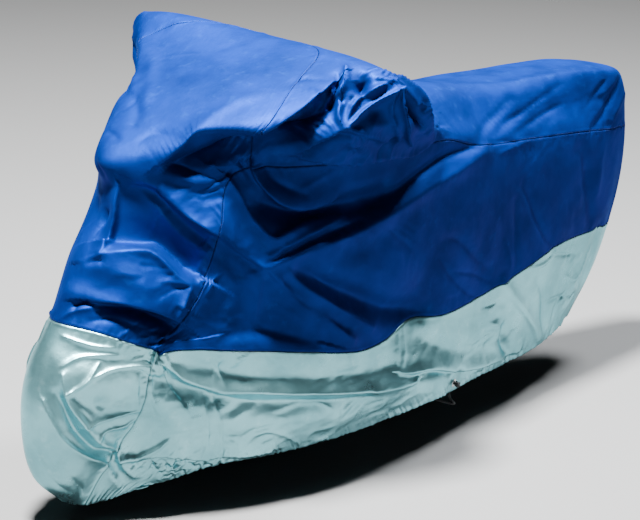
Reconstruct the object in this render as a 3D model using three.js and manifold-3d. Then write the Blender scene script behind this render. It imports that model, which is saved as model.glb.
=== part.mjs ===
// A fitted motorcycle cover of coated nylon, blue above and silver below, in the shape in which it hangs.
// The cover is hollow and open underneath. X points to its front, Y to its left and Z up, in millimetres.
// The tables give heights above the ground, and the whole cover is then lowered by REST_HEIGHT,
// so that the origin lies just under its top, where it is carried.
import * as THREE from "three";
import { mergeVertices } from "three/addons/utils/BufferGeometryUtils.js";
import Module from "manifold-3d";

const wasm = await Module();
wasm.setup();

// Driving sizes
const REST_HEIGHT = 1054;
const CLOTH_THICKNESS = 2;
const SEAM_GAP = 0.3;
const BAG_AT = 0.5;
const WAIST_AT = 0.5;
const LOW_AT = 0.6;
const MITRE_LIMIT = 0.4;
const CORD_DIAMETER = 6;
const CORD_SIDES = 8;
const CORD_STEP = 16;
const KNOT_RADIUS = 9;
const KNOT_LENGTH = 15;
const KNOT_SEGMENTS = 16;
const EYELET_HOLE_RADIUS = 6;
const EYELET_RIM_RADIUS = 12;
const EYELET_WALL = 1;
const EYELET_EDGE = 0.6;
const EYELET_ROLL = 1.4;
const EYELET_CLEARANCE = 0.3;
const EYELET_SEGMENTS = 20;
const EYELET_PATCH_RADIUS = 62;
const EYELET_CUT_DEPTH = 16;
const MERGE_DISTANCE = 0.001;

// Colours and finishes
const BLUE = { color: 0x1350c8, roughness: 0.42, metalness: 0 };
const SILVER = { color: 0xa9bfc4, roughness: 0.38, metalness: 0.25 };
const WHITE_METAL = { color: 0xe6eceb, roughness: 0.3, metalness: 0.6 };
const BLACK_ELASTIC = { color: 0x101214, roughness: 0.75, metalness: 0 };

// Cross-sections of the draped cloth, from the front hem over the top to the rear hem.
// Crest is the line along the middle, as [x, z]. Brow is the edge of the top, seam the seam between
// top or front and side, as [x, y, z] on the left. Bag says how far the cloth bags out between the two.
const UPPER = [
  { at: "front hem", crest: [872, 55], brow: [856, 22, 50], bag: 0, seam: [828, 38, 45] },
  { at: "front low", crest: [950, 135], brow: [920, 58, 138], bag: 4, seam: [778, 86, 185] },
  { at: "front bulge", crest: [975, 290], brow: [935, 76, 290], bag: 8, seam: [742, 142, 285] },
  { at: "front shoulder", crest: [952, 405], brow: [900, 92, 395], bag: 10, seam: [730, 166, 380] },
  { at: "front belt", crest: [882, 520], brow: [825, 100, 503], bag: 8, seam: [718, 172, 455] },
  { at: "front rise", crest: [808, 662], brow: [758, 110, 640], bag: 6, seam: [655, 203, 530] },
  { at: "throat", crest: [742, 775], brow: [690, 118, 745], bag: 4, seam: [600, 222, 618] },
  { at: "chin", crest: [725, 835], brow: [655, 122, 815], bag: 4, seam: [562, 226, 730] },
  { at: "nose", crest: [745, 895], brow: [645, 130, 890], bag: 4, seam: [530, 226, 862] },
  { at: "front step", crest: [655, 965], brow: [575, 205, 945], bag: 4, seam: [480, 252, 892] },
  { at: "bag front", crest: [470, 1060], brow: [500, 296, 1002], bag: 6, seam: [400, 284, 884] },
  { at: "bag rise", crest: [320, 1115], brow: [310, 325, 1070], bag: 70, seam: [270, 304, 874] },
  { at: "bag ridge", crest: [195, 1142], brow: [165, 405, 1088], bag: 62, seam: [110, 308, 868] },
  { at: "bag back", crest: [60, 1085], brow: [10, 365, 1015], bag: 55, seam: [-30, 298, 868] },
  { at: "dip", crest: [-120, 1005], brow: [-115, 240, 968], bag: 10, seam: [-190, 266, 862] },
  { at: "back", crest: [-330, 962], brow: [-330, 130, 958], bag: 6, seam: [-370, 237, 817] },
  { at: "back rear", crest: [-600, 940], brow: [-600, 115, 925], bag: 4, seam: [-620, 192, 790] },
  { at: "tail front", crest: [-850, 942], brow: [-850, 105, 920], bag: 4, seam: [-870, 160, 768] },
  { at: "tail", crest: [-1040, 930], brow: [-1020, 100, 912], bag: 4, seam: [-1010, 138, 752] },
  { at: "tail top", crest: [-1195, 882], brow: [-1130, 92, 885], bag: 6, seam: [-1075, 123, 744] },
  { at: "tail end", crest: [-1245, 738], brow: [-1195, 62, 738], bag: 8, seam: [-1125, 108, 737] },
  { at: "rear", crest: [-1238, 590], brow: [-1210, 45, 588], bag: 6, seam: [-1150, 84, 582] },
  { at: "rear belt", crest: [-1190, 430], brow: [-1175, 34, 430], bag: 5, seam: [-1140, 60, 432] },
  { at: "rear low", crest: [-1125, 300], brow: [-1115, 28, 298], bag: 3, seam: [-1090, 48, 290] },
  { at: "rear hem", crest: [-1040, 172], brow: [-1036, 12, 172], bag: 1, seam: [-1028, 22, 170] },
];

// The same sections below the seam. Belt is the seam between blue and silver and hem the free edge,
// as [x, y, z] on the left. Waist and low say how far the cloth stands out above and below the belt.
const LOWER = [
  { at: "front hem", waist: 0, belt: [770, 56, 50], low: 2, hem: [700, 100, 80] },
  { at: "front low", waist: 2, belt: [720, 114, 142], low: 4, hem: [650, 120, 84] },
  { at: "front bulge", waist: 2, belt: [680, 162, 215], low: 4, hem: [600, 145, 98] },
  { at: "front shoulder", waist: 2, belt: [650, 198, 290], low: 10, hem: [545, 178, 116] },
  { at: "front belt", waist: 0, belt: [710, 181, 443], low: 24, hem: [480, 200, 120] },
  { at: "front rise", waist: 0, belt: [632, 226, 452], low: 20, hem: [420, 215, 120] },
  { at: "throat", waist: 2, belt: [560, 246, 440], low: 26, hem: [350, 230, 120] },
  { at: "chin", waist: 4, belt: [490, 262, 428], low: 30, hem: [280, 240, 120] },
  { at: "nose", waist: 8, belt: [420, 278, 416], low: 32, hem: [205, 249, 122] },
  { at: "front step", waist: 14, belt: [350, 290, 402], low: 30, hem: [125, 252, 124] },
  { at: "bag front", waist: 12, belt: [280, 294, 388], low: 26, hem: [50, 252, 126] },
  { at: "bag rise", waist: 10, belt: [200, 292, 370], low: 22, hem: [-25, 252, 130] },
  { at: "bag ridge", waist: 10, belt: [110, 282, 355], low: 20, hem: [-100, 251, 134] },
  { at: "bag back", waist: 14, belt: [20, 272, 362], low: 18, hem: [-175, 248, 138] },
  { at: "dip", waist: 18, belt: [-80, 258, 390], low: 16, hem: [-260, 235, 136] },
  { at: "back", waist: 14, belt: [-230, 246, 374], low: 14, hem: [-340, 203, 130] },
  { at: "back rear", waist: 14, belt: [-420, 207, 380], low: 12, hem: [-470, 165, 126] },
  { at: "tail front", waist: 6, belt: [-620, 190, 416], low: 10, hem: [-600, 135, 122] },
  { at: "tail", waist: 2, belt: [-790, 160, 446], low: 8, hem: [-710, 118, 126] },
  { at: "tail top", waist: 6, belt: [-880, 136, 447], low: 6, hem: [-800, 106, 137] },
  { at: "tail end", waist: 8, belt: [-950, 120, 445], low: 6, hem: [-870, 92, 150] },
  { at: "rear", waist: 8, belt: [-1020, 104, 441], low: 6, hem: [-920, 78, 158] },
  { at: "rear belt", waist: 4, belt: [-1065, 86, 438], low: 6, hem: [-948, 66, 162] },
  { at: "rear low", waist: 3, belt: [-1035, 66, 272], low: 4, hem: [-965, 55, 165] },
  { at: "rear hem", waist: 1, belt: [-1010, 36, 168], low: 1, hem: [-982, 46, 166] },
];

// The right side mirrors the left, apart from these brows, where its bag reaches farther forward.
const RIGHT_BROWS = [
  { at: "front step", brow: [560, -185, 962], bag: 4 },
  { at: "bag front", brow: [455, -250, 1020], bag: 10 },
  { at: "bag rise", brow: [335, -385, 1080], bag: 30 },
  { at: "bag ridge", brow: [270, -405, 1146], bag: 40 },
  { at: "bag back", brow: [130, -385, 1050], bag: 40 },
  { at: "dip", brow: [-115, -230, 950], bag: 10 },
  { at: "back", brow: [-330, -125, 928], bag: 6 },
];

// Lines across a section, counted from the crest: 0 crest, 1 brow, 2 bag, 3 seam, 4 waist, 5 belt,
// 6 low, 7 hem on the left, and the same with a minus sign on the right.
const BROW_LINE = 1;
const SEAM_LINE = 3;
const BELT_LINE = 5;
const HEM_LINE = 7;
const LAST_SECTION = UPPER.length - 1;

// Sections at which the panels meet, counted from the front hem
const sectionOf = (name) => UPPER.findIndex((row) => row.at === name);
const FRONT_BELT = sectionOf("front belt");
const CROSS_SEAM = sectionOf("front step");
const TAIL_END = sectionOf("tail end");
const REAR_BELT = sectionOf("rear belt");

// The seam across the front slants back from the seam line over the brow and curves round to the crest.
// Slants are counted in sections, and spread from the first of these sections to the last.
const SLANT_AT_BROW = 1;
const SLANT_BROW_TO_CREST = 2.3;
const SLANT_FROM = sectionOf("throat");
const SLANT_TO = sectionOf("tail front");

// Main folds. Path is a run of [section, line] places, width half the breadth at which a fold has mostly
// gone, and depth its height, below zero for a trough.
const FRONT_FOLDS = [
  { path: [[8.2, 0.75], [9.1, 0.8], [10, 1]], width: 30, depth: 14 },
  { path: [[8.4, 1.15], [9, 1.25], [9.7, 1.5]], width: 32, depth: -26 },
  { path: [[8, 1], [8.5, 1.9], [9, 2.7]], width: 32, depth: 16 },
  { path: [[7.6, 1.1], [7.6, 2], [7.7, 2.9]], width: 30, depth: -16 },
  { path: [[7.4, 0.8], [7.1, 1.7], [7.1, 2.6], [7.6, 3.5], [8.35, 4]], width: 28, depth: 20 },
  { path: [[6.7, 0.5], [6.5, 1.4], [6.35, 2.5]], width: 58, depth: -44 },
  { path: [[6.9, 0.2], [6.2, 0.3], [5.5, 0.45]], width: 36, depth: 12 },
  { path: [[6.5, -0.2], [6.1, -0.05], [5.7, 0.1]], width: 46, depth: -14 },
  { path: [[5.5, 0.3], [5.65, 1.1], [5.8, 2], [6.1, 2.9]], width: 32, depth: 20 },
  { path: [[5.1, 0], [5.2, 1.2], [5.4, 2.4]], width: 58, depth: 14 },
  { path: [[4.65, 0.3], [4.8, 1.3], [4.95, 2.3], [5, 2.9]], width: 34, depth: -24 },
  { path: [[4.45, -0.2], [4.6, 0.8], [4.55, 2]], width: 30, depth: 10 },
  { path: [[4.25, 0.5], [4.4, 1.4], [4.3, 2.5]], width: 28, depth: -10 },
  { path: [[5.75, 2.6], [5, 2.9]], width: 26, depth: 12 },
];
const SIDE_FOLDS = [
  { path: [[9.05, 3.05], [9.2, 3.22], [9.9, 3.32], [11, 3.38]], width: 26, depth: 16 },
  { path: [[8.8, 3.45], [10, 3.5], [11, 3.47], [12.2, 3.42]], width: 42, depth: -32 },
  { path: [[8.3, 3.3], [8.6, 3.65], [9, 3.76], [10, 3.67], [11.4, 3.54]], width: 26, depth: 15 },
  { path: [[8.9, 3.93], [9.9, 3.77], [11.2, 3.62]], width: 22, depth: -10 },
  { path: [[8.5, 4.02], [10.1, 3.89], [12, 3.67], [14.2, 3.42], [15.05, 3.03]], width: 30, depth: 17 },
  { path: [[12.5, 3.45], [13.6, 3.33], [14.4, 3.17], [15, 3]], width: 26, depth: -15 },
  { path: [[8.9, 4.12], [10, 4.5], [11.2, 4.88]], width: 26, depth: 10 },
  { path: [[9.4, 4.12], [10.8, 4.38], [12.3, 4.8]], width: 26, depth: 10 },
  { path: [[9.8, 4.12], [11.2, 4.33], [12.3, 4.5], [14.4, 4.93]], width: 34, depth: -17 },
  { path: [[8.35, 4.1], [7.9, 4.45], [7.6, 4.65]], width: 30, depth: 8 },
  { path: [[14.6, 4.1], [15.3, 4.25], [16, 4.5]], width: 26, depth: -7 },
  { path: [[16.5, 3.7], [17.3, 4.3], [18, 4.8]], width: 26, depth: -10 },
  { path: [[18.3, 3.45], [18.9, 3.9], [19.6, 4.5]], width: 28, depth: -12 },
];
const TOP_FOLDS = [
  { path: [[15.1, 0.5], [16, 0.6], [17, 0.4]], width: 40, depth: -10 },
  { path: [[15.5, 2.75], [16.2, 2.1], [16.9, 1.5]], width: 26, depth: -9 },
  { path: [[15.9, 2.8], [16.6, 2.2], [17.1, 1.7]], width: 26, depth: -8 },
  { path: [[18.1, 2.8], [18.6, 2.1], [19.1, 1.4]], width: 26, depth: -12 },
];
const BAG_FOLDS = [
  { path: [[10.1, 1.8], [10.6, 1.6]], width: 44, depth: -20 },
  { path: [[11.5, 0.8], [11.3, 1.4], [11.1, 1.95]], width: 32, depth: 15 },
  { path: [[11.1, 1.95], [11.5, 1.45], [12, 1.1]], width: 32, depth: 13 },
  { path: [[10.6, 2.45], [10.8, 2.2], [11.1, 2]], width: 30, depth: 13 },
  { path: [[11.1, 2], [11.5, 2.25], [11.9, 2.35]], width: 30, depth: 11 },
  { path: [[12.1, 1.3], [12.25, 2], [12.6, 2.6]], width: 32, depth: 13 },
  { path: [[11.5, 1.75], [11.9, 1.8]], width: 36, depth: -16 },
  { path: [[12.8, 1.3], [13, 1.9], [13, 2.4]], width: 38, depth: -30 },
];
const RIGHT_BAG_FOLDS = [
  { path: [[10.4, -1.5], [11.2, -1.9], [12, -2.3]], width: 48, depth: -18 },
  { path: [[12.7, -1.4], [13, -2], [13, -2.5]], width: 50, depth: -22 },
];
const SKIRT_FOLDS = [
  { path: [[2.4, 0.15], [2, 0.6], [1.5, 1.4], [1.2, 2.3], [0.75, 4]], width: 22, depth: 9 },
  { path: [[2.4, 0.6], [1.85, 1.3], [1.35, 2.2], [1, 3.3]], width: 28, depth: -14 },
  { path: [[3, 0.3], [2.3, 1.15], [1.65, 2], [1.25, 3]], width: 24, depth: 12 },
  { path: [[2.6, 1], [2.35, 2], [2.1, 2.9]], width: 34, depth: -12 },
  { path: [[3.6, 0.6], [3.5, 1.8], [3.6, 2.9]], width: 34, depth: -10 },
  { path: [[3.5, 3.3], [3.95, 5], [5.5, 5.33], [8, 5.42], [11, 5.6], [13, 5.8]], width: 42, depth: -19 },
  { path: [[5, 5.5], [7, 5.6], [9, 5.72], [11, 5.88], [13, 6.05]], width: 26, depth: 10 },
  { path: [[5, 5.68], [7, 5.8], [9, 5.93], [10.5, 5.98]], width: 34, depth: -14 },
  { path: [[12.8, 5.95], [14.3, 6.12], [15.6, 6.3], [16.8, 6.55]], width: 26, depth: -14 },
  { path: [[14, 5.25], [14.6, 5.6]], width: 44, depth: -10 },
  { path: [[17, 5.4], [17.6, 6], [18.4, 6.8]], width: 28, depth: -12 },
  { path: [[17.5, 5.2], [18.3, 5.9], [19, 6.8]], width: 26, depth: 9 },
];
// The right side hangs in the same kind of folds, a little farther back and shallower.
const RIGHT_SHIFT = 0.3;
const RIGHT_DEPTH = 0.8;
const mirrored = ({ path, width, depth }) => ({
  path: path.map(([section, line]) => [Math.min(section + RIGHT_SHIFT, LAST_SECTION), -line]),
  width,
  depth: depth * RIGHT_DEPTH,
});
const FOLDS = [
  ...FRONT_FOLDS,
  ...BAG_FOLDS,
  ...RIGHT_BAG_FOLDS,
  ...[...SIDE_FOLDS, ...TOP_FOLDS, ...SKIRT_FOLDS].flatMap((fold) => [fold, mirrored(fold)]),
];
const FOLD_SAMPLES = 14;
// A fold has no height past this many widths, and starts and ends this share of a half wave short.
const FOLD_REACH = 2.6;
const FOLD_END = 0.08;

// How many strips of cloth lie between one section and the next, and between one line and the next
const SECTION_STRIPS = [2, 3, 3, 2, 4, 4, 3, 3, 4, 4, 3, 3, 3, 3, 3, 2, 3, 3, 2, 2, 2, 2, 1, 1];
const LEFT_STRIPS = [4, 3, 3, 4, 3, 3, 2];
const RIGHT_STRIPS = [4, 2, 2, 2, 2, 2, 2];

// The surface through the sections
function sidePoints(upper, lower, mirror, other) {
  const out = new THREE.Vector3(0, 1, 0);
  const point = (p) => new THREE.Vector3(...p);
  const brow = other ? point(other.brow).multiply(new THREE.Vector3(1, -1, 1)) : point(upper.brow);
  const bagOut = other ? other.bag : upper.bag;
  const seam = point(upper.seam);
  const belt = point(lower.belt);
  const hem = point(lower.hem);
  const bag = brow.clone().lerp(seam, BAG_AT).addScaledVector(out, bagOut);
  const waist = seam.clone().lerp(belt, WAIST_AT).addScaledVector(out, lower.waist);
  const low = belt.clone().lerp(hem, LOW_AT).addScaledVector(out, lower.low);
  return [brow, bag, seam, waist, belt, low, hem].map((p) => (mirror ? p.setY(-p.y) : p));
}

const lines = Array.from({ length: 2 * HEM_LINE + 1 }, () => []);
UPPER.forEach((upper, section) => {
  const lower = LOWER[section];
  const other = RIGHT_BROWS.find((row) => row.at === upper.at);
  lines[HEM_LINE].push(new THREE.Vector3(upper.crest[0], 0, upper.crest[1]));
  sidePoints(upper, lower, false).forEach((p, k) => lines[HEM_LINE + 1 + k].push(p));
  sidePoints(upper, lower, true, other).forEach((p, k) => lines[HEM_LINE - 1 - k].push(p));
});
const lineCurves = lines.map((points) => new THREE.CatmullRomCurve3(points));

function smoothPoint(section, line) {
  const across = lineCurves.map((curve) => curve.getPoint(section / LAST_SECTION));
  return new THREE.CatmullRomCurve3(across).getPoint((line + HEM_LINE) / (2 * HEM_LINE));
}

function strips(counts, first) {
  return counts.flatMap((count, k) => Array.from({ length: count }, (_, step) => first + k + step / count));
}
const sectionPlaces = [...strips(SECTION_STRIPS, 0), LAST_SECTION];
const linePlaces = [
  ...strips(RIGHT_STRIPS.toReversed(), -HEM_LINE),
  ...strips(LEFT_STRIPS, 0),
  HEM_LINE,
];

// Where a row of the cloth's grid crosses a line: rows near the cross seam slant with it.
function slanted(section, line) {
  const off = Math.abs(line);
  const toSeam = THREE.MathUtils.clamp((SEAM_LINE - off) / (SEAM_LINE - BROW_LINE), 0, 1);
  const toCrest = Math.cos((Math.PI / 2) * Math.min(off / BROW_LINE, 1));
  const shift = SLANT_AT_BROW * toSeam + SLANT_BROW_TO_CREST * toCrest;
  const end = section < CROSS_SEAM ? SLANT_FROM : SLANT_TO;
  const share = THREE.MathUtils.clamp((section - end) / (CROSS_SEAM - end), 0, 1);
  return section + shift * share;
}

const ROWS = sectionPlaces.length;
const COLUMNS = linePlaces.length;
const vertexOf = (row, column) => row * COLUMNS + column;

function cornersOf(row, column) {
  return [
    vertexOf(row, column),
    vertexOf(row + 1, column),
    vertexOf(row + 1, column + 1),
    vertexOf(row, column + 1),
  ];
}

const cells = [];
for (let row = 0; row < ROWS - 1; row++) {
  for (let column = 0; column < COLUMNS - 1; column++) cells.push({ row, column });
}

// A sheet is its points and the middles of its cells. Each cell is two triangles that face out, split
// along the diagonal that lies nearer to the cell's middle.
function cellTriangles(sheet, row, column) {
  const [a, b, c, d] = cornersOf(row, column);
  const middle = sheet.middles[row * (COLUMNS - 1) + column];
  const miss = (p, q) => sheet.points[p].clone().lerp(sheet.points[q], 0.5).distanceTo(middle);
  return miss(a, c) < miss(b, d) ? [[a, b, c], [a, c, d]] : [[a, b, d], [b, c, d]];
}

function normalsOf(sheet) {
  const geometry = new THREE.BufferGeometry().setFromPoints(sheet.points);
  geometry.setIndex(cells.flatMap(({ row, column }) => cellTriangles(sheet, row, column).flat()));
  geometry.computeVertexNormals();
  const normal = geometry.getAttribute("normal");
  return sheet.points.map((_, v) => new THREE.Vector3().fromBufferAttribute(normal, v));
}

// The height of all folds at a point of the smooth surface
const foldRuns = FOLDS.map(({ path, width, depth }) => {
  const places = path.map(([section, line]) => new THREE.Vector3(section, line, 0));
  const route = new THREE.CatmullRomCurve3(places);
  const points = route.getPoints(FOLD_SAMPLES).map((place) => smoothPoint(place.x, place.y));
  return { points, width, depth };
});

function foldHeight(point) {
  let height = 0;
  const segment = new THREE.Line3();
  const nearest = new THREE.Vector3();
  for (const { points, width, depth } of foldRuns) {
    let distance = Infinity;
    let along = 0;
    for (let k = 0; k < points.length - 1; k++) {
      segment.set(points[k], points[k + 1]);
      const share = segment.closestPointToPointParameter(point, true);
      const away = segment.at(share, nearest).distanceTo(point);
      if (away < distance) {
        distance = away;
        along = (k + share) / (points.length - 1);
      }
    }
    if (distance > FOLD_REACH * width) continue;
    const fade = Math.sqrt(Math.sin(Math.PI * THREE.MathUtils.lerp(FOLD_END, 1 - FOLD_END, along)));
    height += depth * fade * Math.exp(-((distance / width) ** 2));
  }
  return height;
}

const placeOf = (section, line) => smoothPoint(slanted(section, line), line);
const between = (places, k) => (places[k] + places[k + 1]) / 2;
const smooth = {
  points: sectionPlaces.flatMap((section) => linePlaces.map((line) => placeOf(section, line))),
  middles: cells.map(({ row, column }) => placeOf(between(sectionPlaces, row), between(linePlaces, column))),
};
const smoothNormals = normalsOf(smooth);
const folded = (point, normal) => point.clone().addScaledVector(normal, foldHeight(point));
const meanNormal = ({ row, column }) =>
  cornersOf(row, column)
    .reduce((sum, v) => sum.add(smoothNormals[v]), new THREE.Vector3())
    .normalize();
const cloth = {
  points: smooth.points.map((point, v) => folded(point, smoothNormals[v])),
  middles: smooth.middles.map((point, k) => folded(point, meanNormal(cells[k]))),
};

// Eyelets in the skirts, one on each side, on a patch of cloth that the rims hold flat. The lie of the
// cloth there is felt a small step away, in sections and in lines.
const EYELETS = [
  { name: "left", section: 14.8, line: 6.75 },
  { name: "right", section: 14.8, line: -6.75 },
];
const EYELET_FEEL = 0.1;
for (const eyelet of EYELETS) {
  eyelet.center = smoothPoint(eyelet.section, eyelet.line);
  const along = smoothPoint(eyelet.section + EYELET_FEEL, eyelet.line).sub(eyelet.center);
  const across = smoothPoint(eyelet.section, eyelet.line + EYELET_FEEL).sub(eyelet.center);
  eyelet.normal = along.cross(across).normalize();
  for (const point of [...cloth.points, ...cloth.middles]) {
    if (point.distanceTo(eyelet.center) > EYELET_PATCH_RADIUS) continue;
    const off = point.clone().sub(eyelet.center).dot(eyelet.normal);
    point.addScaledVector(eyelet.normal, -off);
  }
}
const clothNormals = normalsOf(cloth);

// The panel that a cell of the grid belongs to
function panelOf(row, column) {
  const section = (sectionPlaces[row] + sectionPlaces[row + 1]) / 2;
  const line = (linePlaces[column] + linePlaces[column + 1]) / 2;
  const off = Math.abs(line);
  const side = line > 0 ? "left" : "right";
  if (section < FRONT_BELT) return off < SEAM_LINE ? "skirt_front" : "skirt_" + side;
  if (section > REAR_BELT || off > BELT_LINE) return "skirt_" + side;
  if (off < SEAM_LINE && section < CROSS_SEAM) return "front_panel";
  if (off < SEAM_LINE && section < TAIL_END) return "top_panel";
  return "side_" + side;
}

// One panel as a closed sheet. Its sewn edges stand back by half the gap of a seam.
function panelGeometry(name) {
  const inGrid = (row, column) => row >= 0 && column >= 0 && row < ROWS - 1 && column < COLUMNS - 1;
  const inPanel = (row, column) => inGrid(row, column) && panelOf(row, column) === name;
  const faces = [];
  const edges = [];
  const inward = new Map();
  for (const { row, column } of cells) {
    if (!inPanel(row, column)) continue;
    faces.push(...cellTriangles(cloth, row, column));
    const [a, b, c, d] = cornersOf(row, column);
    const around = [
      [a, b, row, column - 1],
      [b, c, row + 1, column],
      [c, d, row, column + 1],
      [d, a, row - 1, column],
    ];
    for (const [from, to, nextRow, nextColumn] of around) {
      if (inPanel(nextRow, nextColumn)) continue;
      edges.push([from, to]);
      if (!inGrid(nextRow, nextColumn)) continue;
      const run = cloth.points[to].clone().sub(cloth.points[from]);
      for (const v of [from, to]) {
        const into = clothNormals[v].clone().cross(run).normalize();
        if (!inward.has(v)) inward.set(v, []);
        inward.get(v).push(into);
      }
    }
  }
  const used = [...new Set(faces.flat())];
  const outer = new Map(used.map((v) => [v, cloth.points[v].clone()]));
  for (const [v, intos] of inward) {
    const mean = intos.reduce((sum, into) => sum.add(into), new THREE.Vector3()).normalize();
    const slope = Math.max(MITRE_LIMIT, mean.dot(intos[0]));
    outer.get(v).addScaledVector(mean, SEAM_GAP / 2 / slope);
  }
  const position = [];
  const push = (...corners) => corners.forEach((p) => position.push(p.x, p.y, p.z));
  const innerOf = (v) => outer.get(v).clone().addScaledVector(clothNormals[v], -CLOTH_THICKNESS);
  const inner = new Map(used.map((v) => [v, innerOf(v)]));
  for (const [a, b, c] of faces) {
    push(outer.get(a), outer.get(b), outer.get(c));
    push(inner.get(c), inner.get(b), inner.get(a));
  }
  // Both panels at a seam split their rims along the same diagonal.
  for (const [from, to] of edges) {
    if (from < to) {
      push(outer.get(to), outer.get(from), inner.get(from));
      push(outer.get(to), inner.get(from), inner.get(to));
    } else {
      push(outer.get(to), outer.get(from), inner.get(to));
      push(outer.get(from), inner.get(from), inner.get(to));
    }
  }
  return new THREE.BufferGeometry().setAttribute("position", new THREE.Float32BufferAttribute(position, 3));
}

// Cuts
function solidOf(geometry) {
  const bare = geometry.clone();
  bare.deleteAttribute("normal");
  bare.deleteAttribute("uv");
  const merged = mergeVertices(bare, MERGE_DISTANCE);
  return new wasm.Manifold(
    new wasm.Mesh({
      numProp: 3,
      vertProperties: merged.getAttribute("position").array,
      triVerts: new Uint32Array(merged.index.array),
    }),
  );
}

function geometryOf(solid) {
  const mesh = solid.getMesh();
  return new THREE.BufferGeometry()
    .setAttribute("position", new THREE.BufferAttribute(mesh.vertProperties, 3))
    .setIndex(new THREE.BufferAttribute(mesh.triVerts, 1));
}

// Placement that turns a piece's own Z to the eyelet's outward normal
function eyeletPlace(eyelet) {
  const turn = new THREE.Quaternion().setFromUnitVectors(new THREE.Vector3(0, 0, 1), eyelet.normal);
  return new THREE.Matrix4().compose(eyelet.center, turn, new THREE.Vector3(1, 1, 1));
}

function eyeletHole(eyelet) {
  const radius = EYELET_HOLE_RADIUS + EYELET_WALL + EYELET_CLEARANCE;
  return new THREE.CylinderGeometry(radius, radius, EYELET_CUT_DEPTH, EYELET_SEGMENTS)
    .rotateX(Math.PI / 2)
    .applyMatrix4(eyeletPlace(eyelet));
}

// A rolled metal ring: a barrel through the cloth with a rim on each face
function eyeletGeometry(eyelet) {
  const barrel = EYELET_HOLE_RADIUS + EYELET_WALL;
  const face = EYELET_CLEARANCE;
  const back = -CLOTH_THICKNESS - EYELET_CLEARANCE;
  const profile = [
    [EYELET_HOLE_RADIUS, back - EYELET_WALL],
    [EYELET_RIM_RADIUS, back - EYELET_WALL * EYELET_EDGE],
    [EYELET_RIM_RADIUS, back],
    [barrel, back],
    [barrel, face],
    [EYELET_RIM_RADIUS, face],
    [EYELET_RIM_RADIUS, face + EYELET_WALL * EYELET_EDGE],
    [(barrel + EYELET_RIM_RADIUS) / 2, face + EYELET_WALL * EYELET_ROLL],
    [EYELET_HOLE_RADIUS, face + EYELET_WALL],
    [EYELET_HOLE_RADIUS, back - EYELET_WALL],
  ];
  return new THREE.LatheGeometry(
    profile.map(([radius, height]) => new THREE.Vector2(radius, height)),
    EYELET_SEGMENTS,
  )
    .rotateX(Math.PI / 2)
    .applyMatrix4(eyeletPlace(eyelet));
}

// The elastic cord under the cover, from eyelet to eyelet. These places are on the left, out along the
// eyelet's normal, forward along X and up from the eyelet's middle, and the right side mirrors them.
const CORD_TURN = [
  { out: -3.3, forward: 0, up: 0 },
  { out: 4, forward: 0, up: 0 },
  { out: 13, forward: -3, up: -4 },
  { out: 18, forward: -5, up: -16 },
  { out: 15, forward: -2, up: -32 },
  { out: 6, forward: 4, up: -46 },
  { out: -10, forward: 9, up: -54 },
];
const BELLY_RUN = [
  { y: 170, forward: 14, up: -58 },
  { y: 90, forward: 17, up: -63 },
];
const BELLY_MIDDLE = { y: 0, forward: 18, up: -65 };

function cordRoute() {
  const [left] = EYELETS;
  const turn = CORD_TURN.map(({ out, forward, up }) =>
    left.center.clone().addScaledVector(left.normal, out).add(new THREE.Vector3(forward, 0, up)),
  );
  const below = ({ y, forward, up }) => new THREE.Vector3(left.center.x + forward, y, left.center.z + up);
  const half = [...turn, ...BELLY_RUN.map(below)];
  const other = half.toReversed().map((p) => new THREE.Vector3(p.x, -p.y, p.z));
  return new THREE.CatmullRomCurve3([...half, below(BELLY_MIDDLE), ...other]);
}

function cordGeometry(route) {
  const section = new THREE.Shape(
    Array.from({ length: CORD_SIDES }, (_, k) => {
      const angle = (2 * Math.PI * k) / CORD_SIDES;
      return new THREE.Vector2(Math.cos(angle), Math.sin(angle)).multiplyScalar(CORD_DIAMETER / 2);
    }),
  );
  const steps = Math.round(route.getLength() / CORD_STEP);
  return new THREE.ExtrudeGeometry(section, { steps, extrudePath: route, bevelEnabled: false });
}

// A plump stopper knot behind the eyelet, which keeps the cord's end inside the cover. Radius and depth
// are shares of the knot's own radius and length, from its tail to the face that meets the eyelet.
const KNOT_PROFILE = [
  { radius: 0, depth: 1 },
  { radius: 0.7, depth: 0.95 },
  { radius: 1, depth: 0.7 },
  { radius: 0.9, depth: 0.45 },
  { radius: 1, depth: 0.2 },
  { radius: 0.8, depth: 0 },
  { radius: 0, depth: 0 },
];

function knotGeometry(eyelet) {
  const front = -CLOTH_THICKNESS - 2 * EYELET_CLEARANCE - EYELET_WALL;
  return new THREE.LatheGeometry(
    KNOT_PROFILE.map((row) => new THREE.Vector2(row.radius * KNOT_RADIUS, front - row.depth * KNOT_LENGTH)),
    KNOT_SEGMENTS,
  )
    .rotateX(Math.PI / 2)
    .applyMatrix4(eyeletPlace(eyelet));
}

const group = new THREE.Group();

function addPiece(name, geometry, finish) {
  const mesh = new THREE.Mesh(geometry, new THREE.MeshStandardMaterial(finish));
  mesh.name = name;
  group.add(mesh);
}

for (const name of ["front_panel", "top_panel", "side_left", "side_right"]) {
  addPiece(name, panelGeometry(name), BLUE);
}
addPiece("skirt_front", panelGeometry("skirt_front"), SILVER);
for (const eyelet of EYELETS) {
  const skirt = solidOf(panelGeometry("skirt_" + eyelet.name));
  addPiece("skirt_" + eyelet.name, geometryOf(skirt.subtract(solidOf(eyeletHole(eyelet)))), SILVER);
  addPiece("eyelet_" + eyelet.name, eyeletGeometry(eyelet), WHITE_METAL);
  addPiece("cord_knot_" + eyelet.name, knotGeometry(eyelet), BLACK_ELASTIC);
}
addPiece("belly_cord", cordGeometry(cordRoute()), BLACK_ELASTIC);

group.position.z = -REST_HEIGHT;

export default group;
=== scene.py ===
import math

import bmesh
import bpy
import numpy as np
from mathutils import Matrix, Vector


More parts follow.
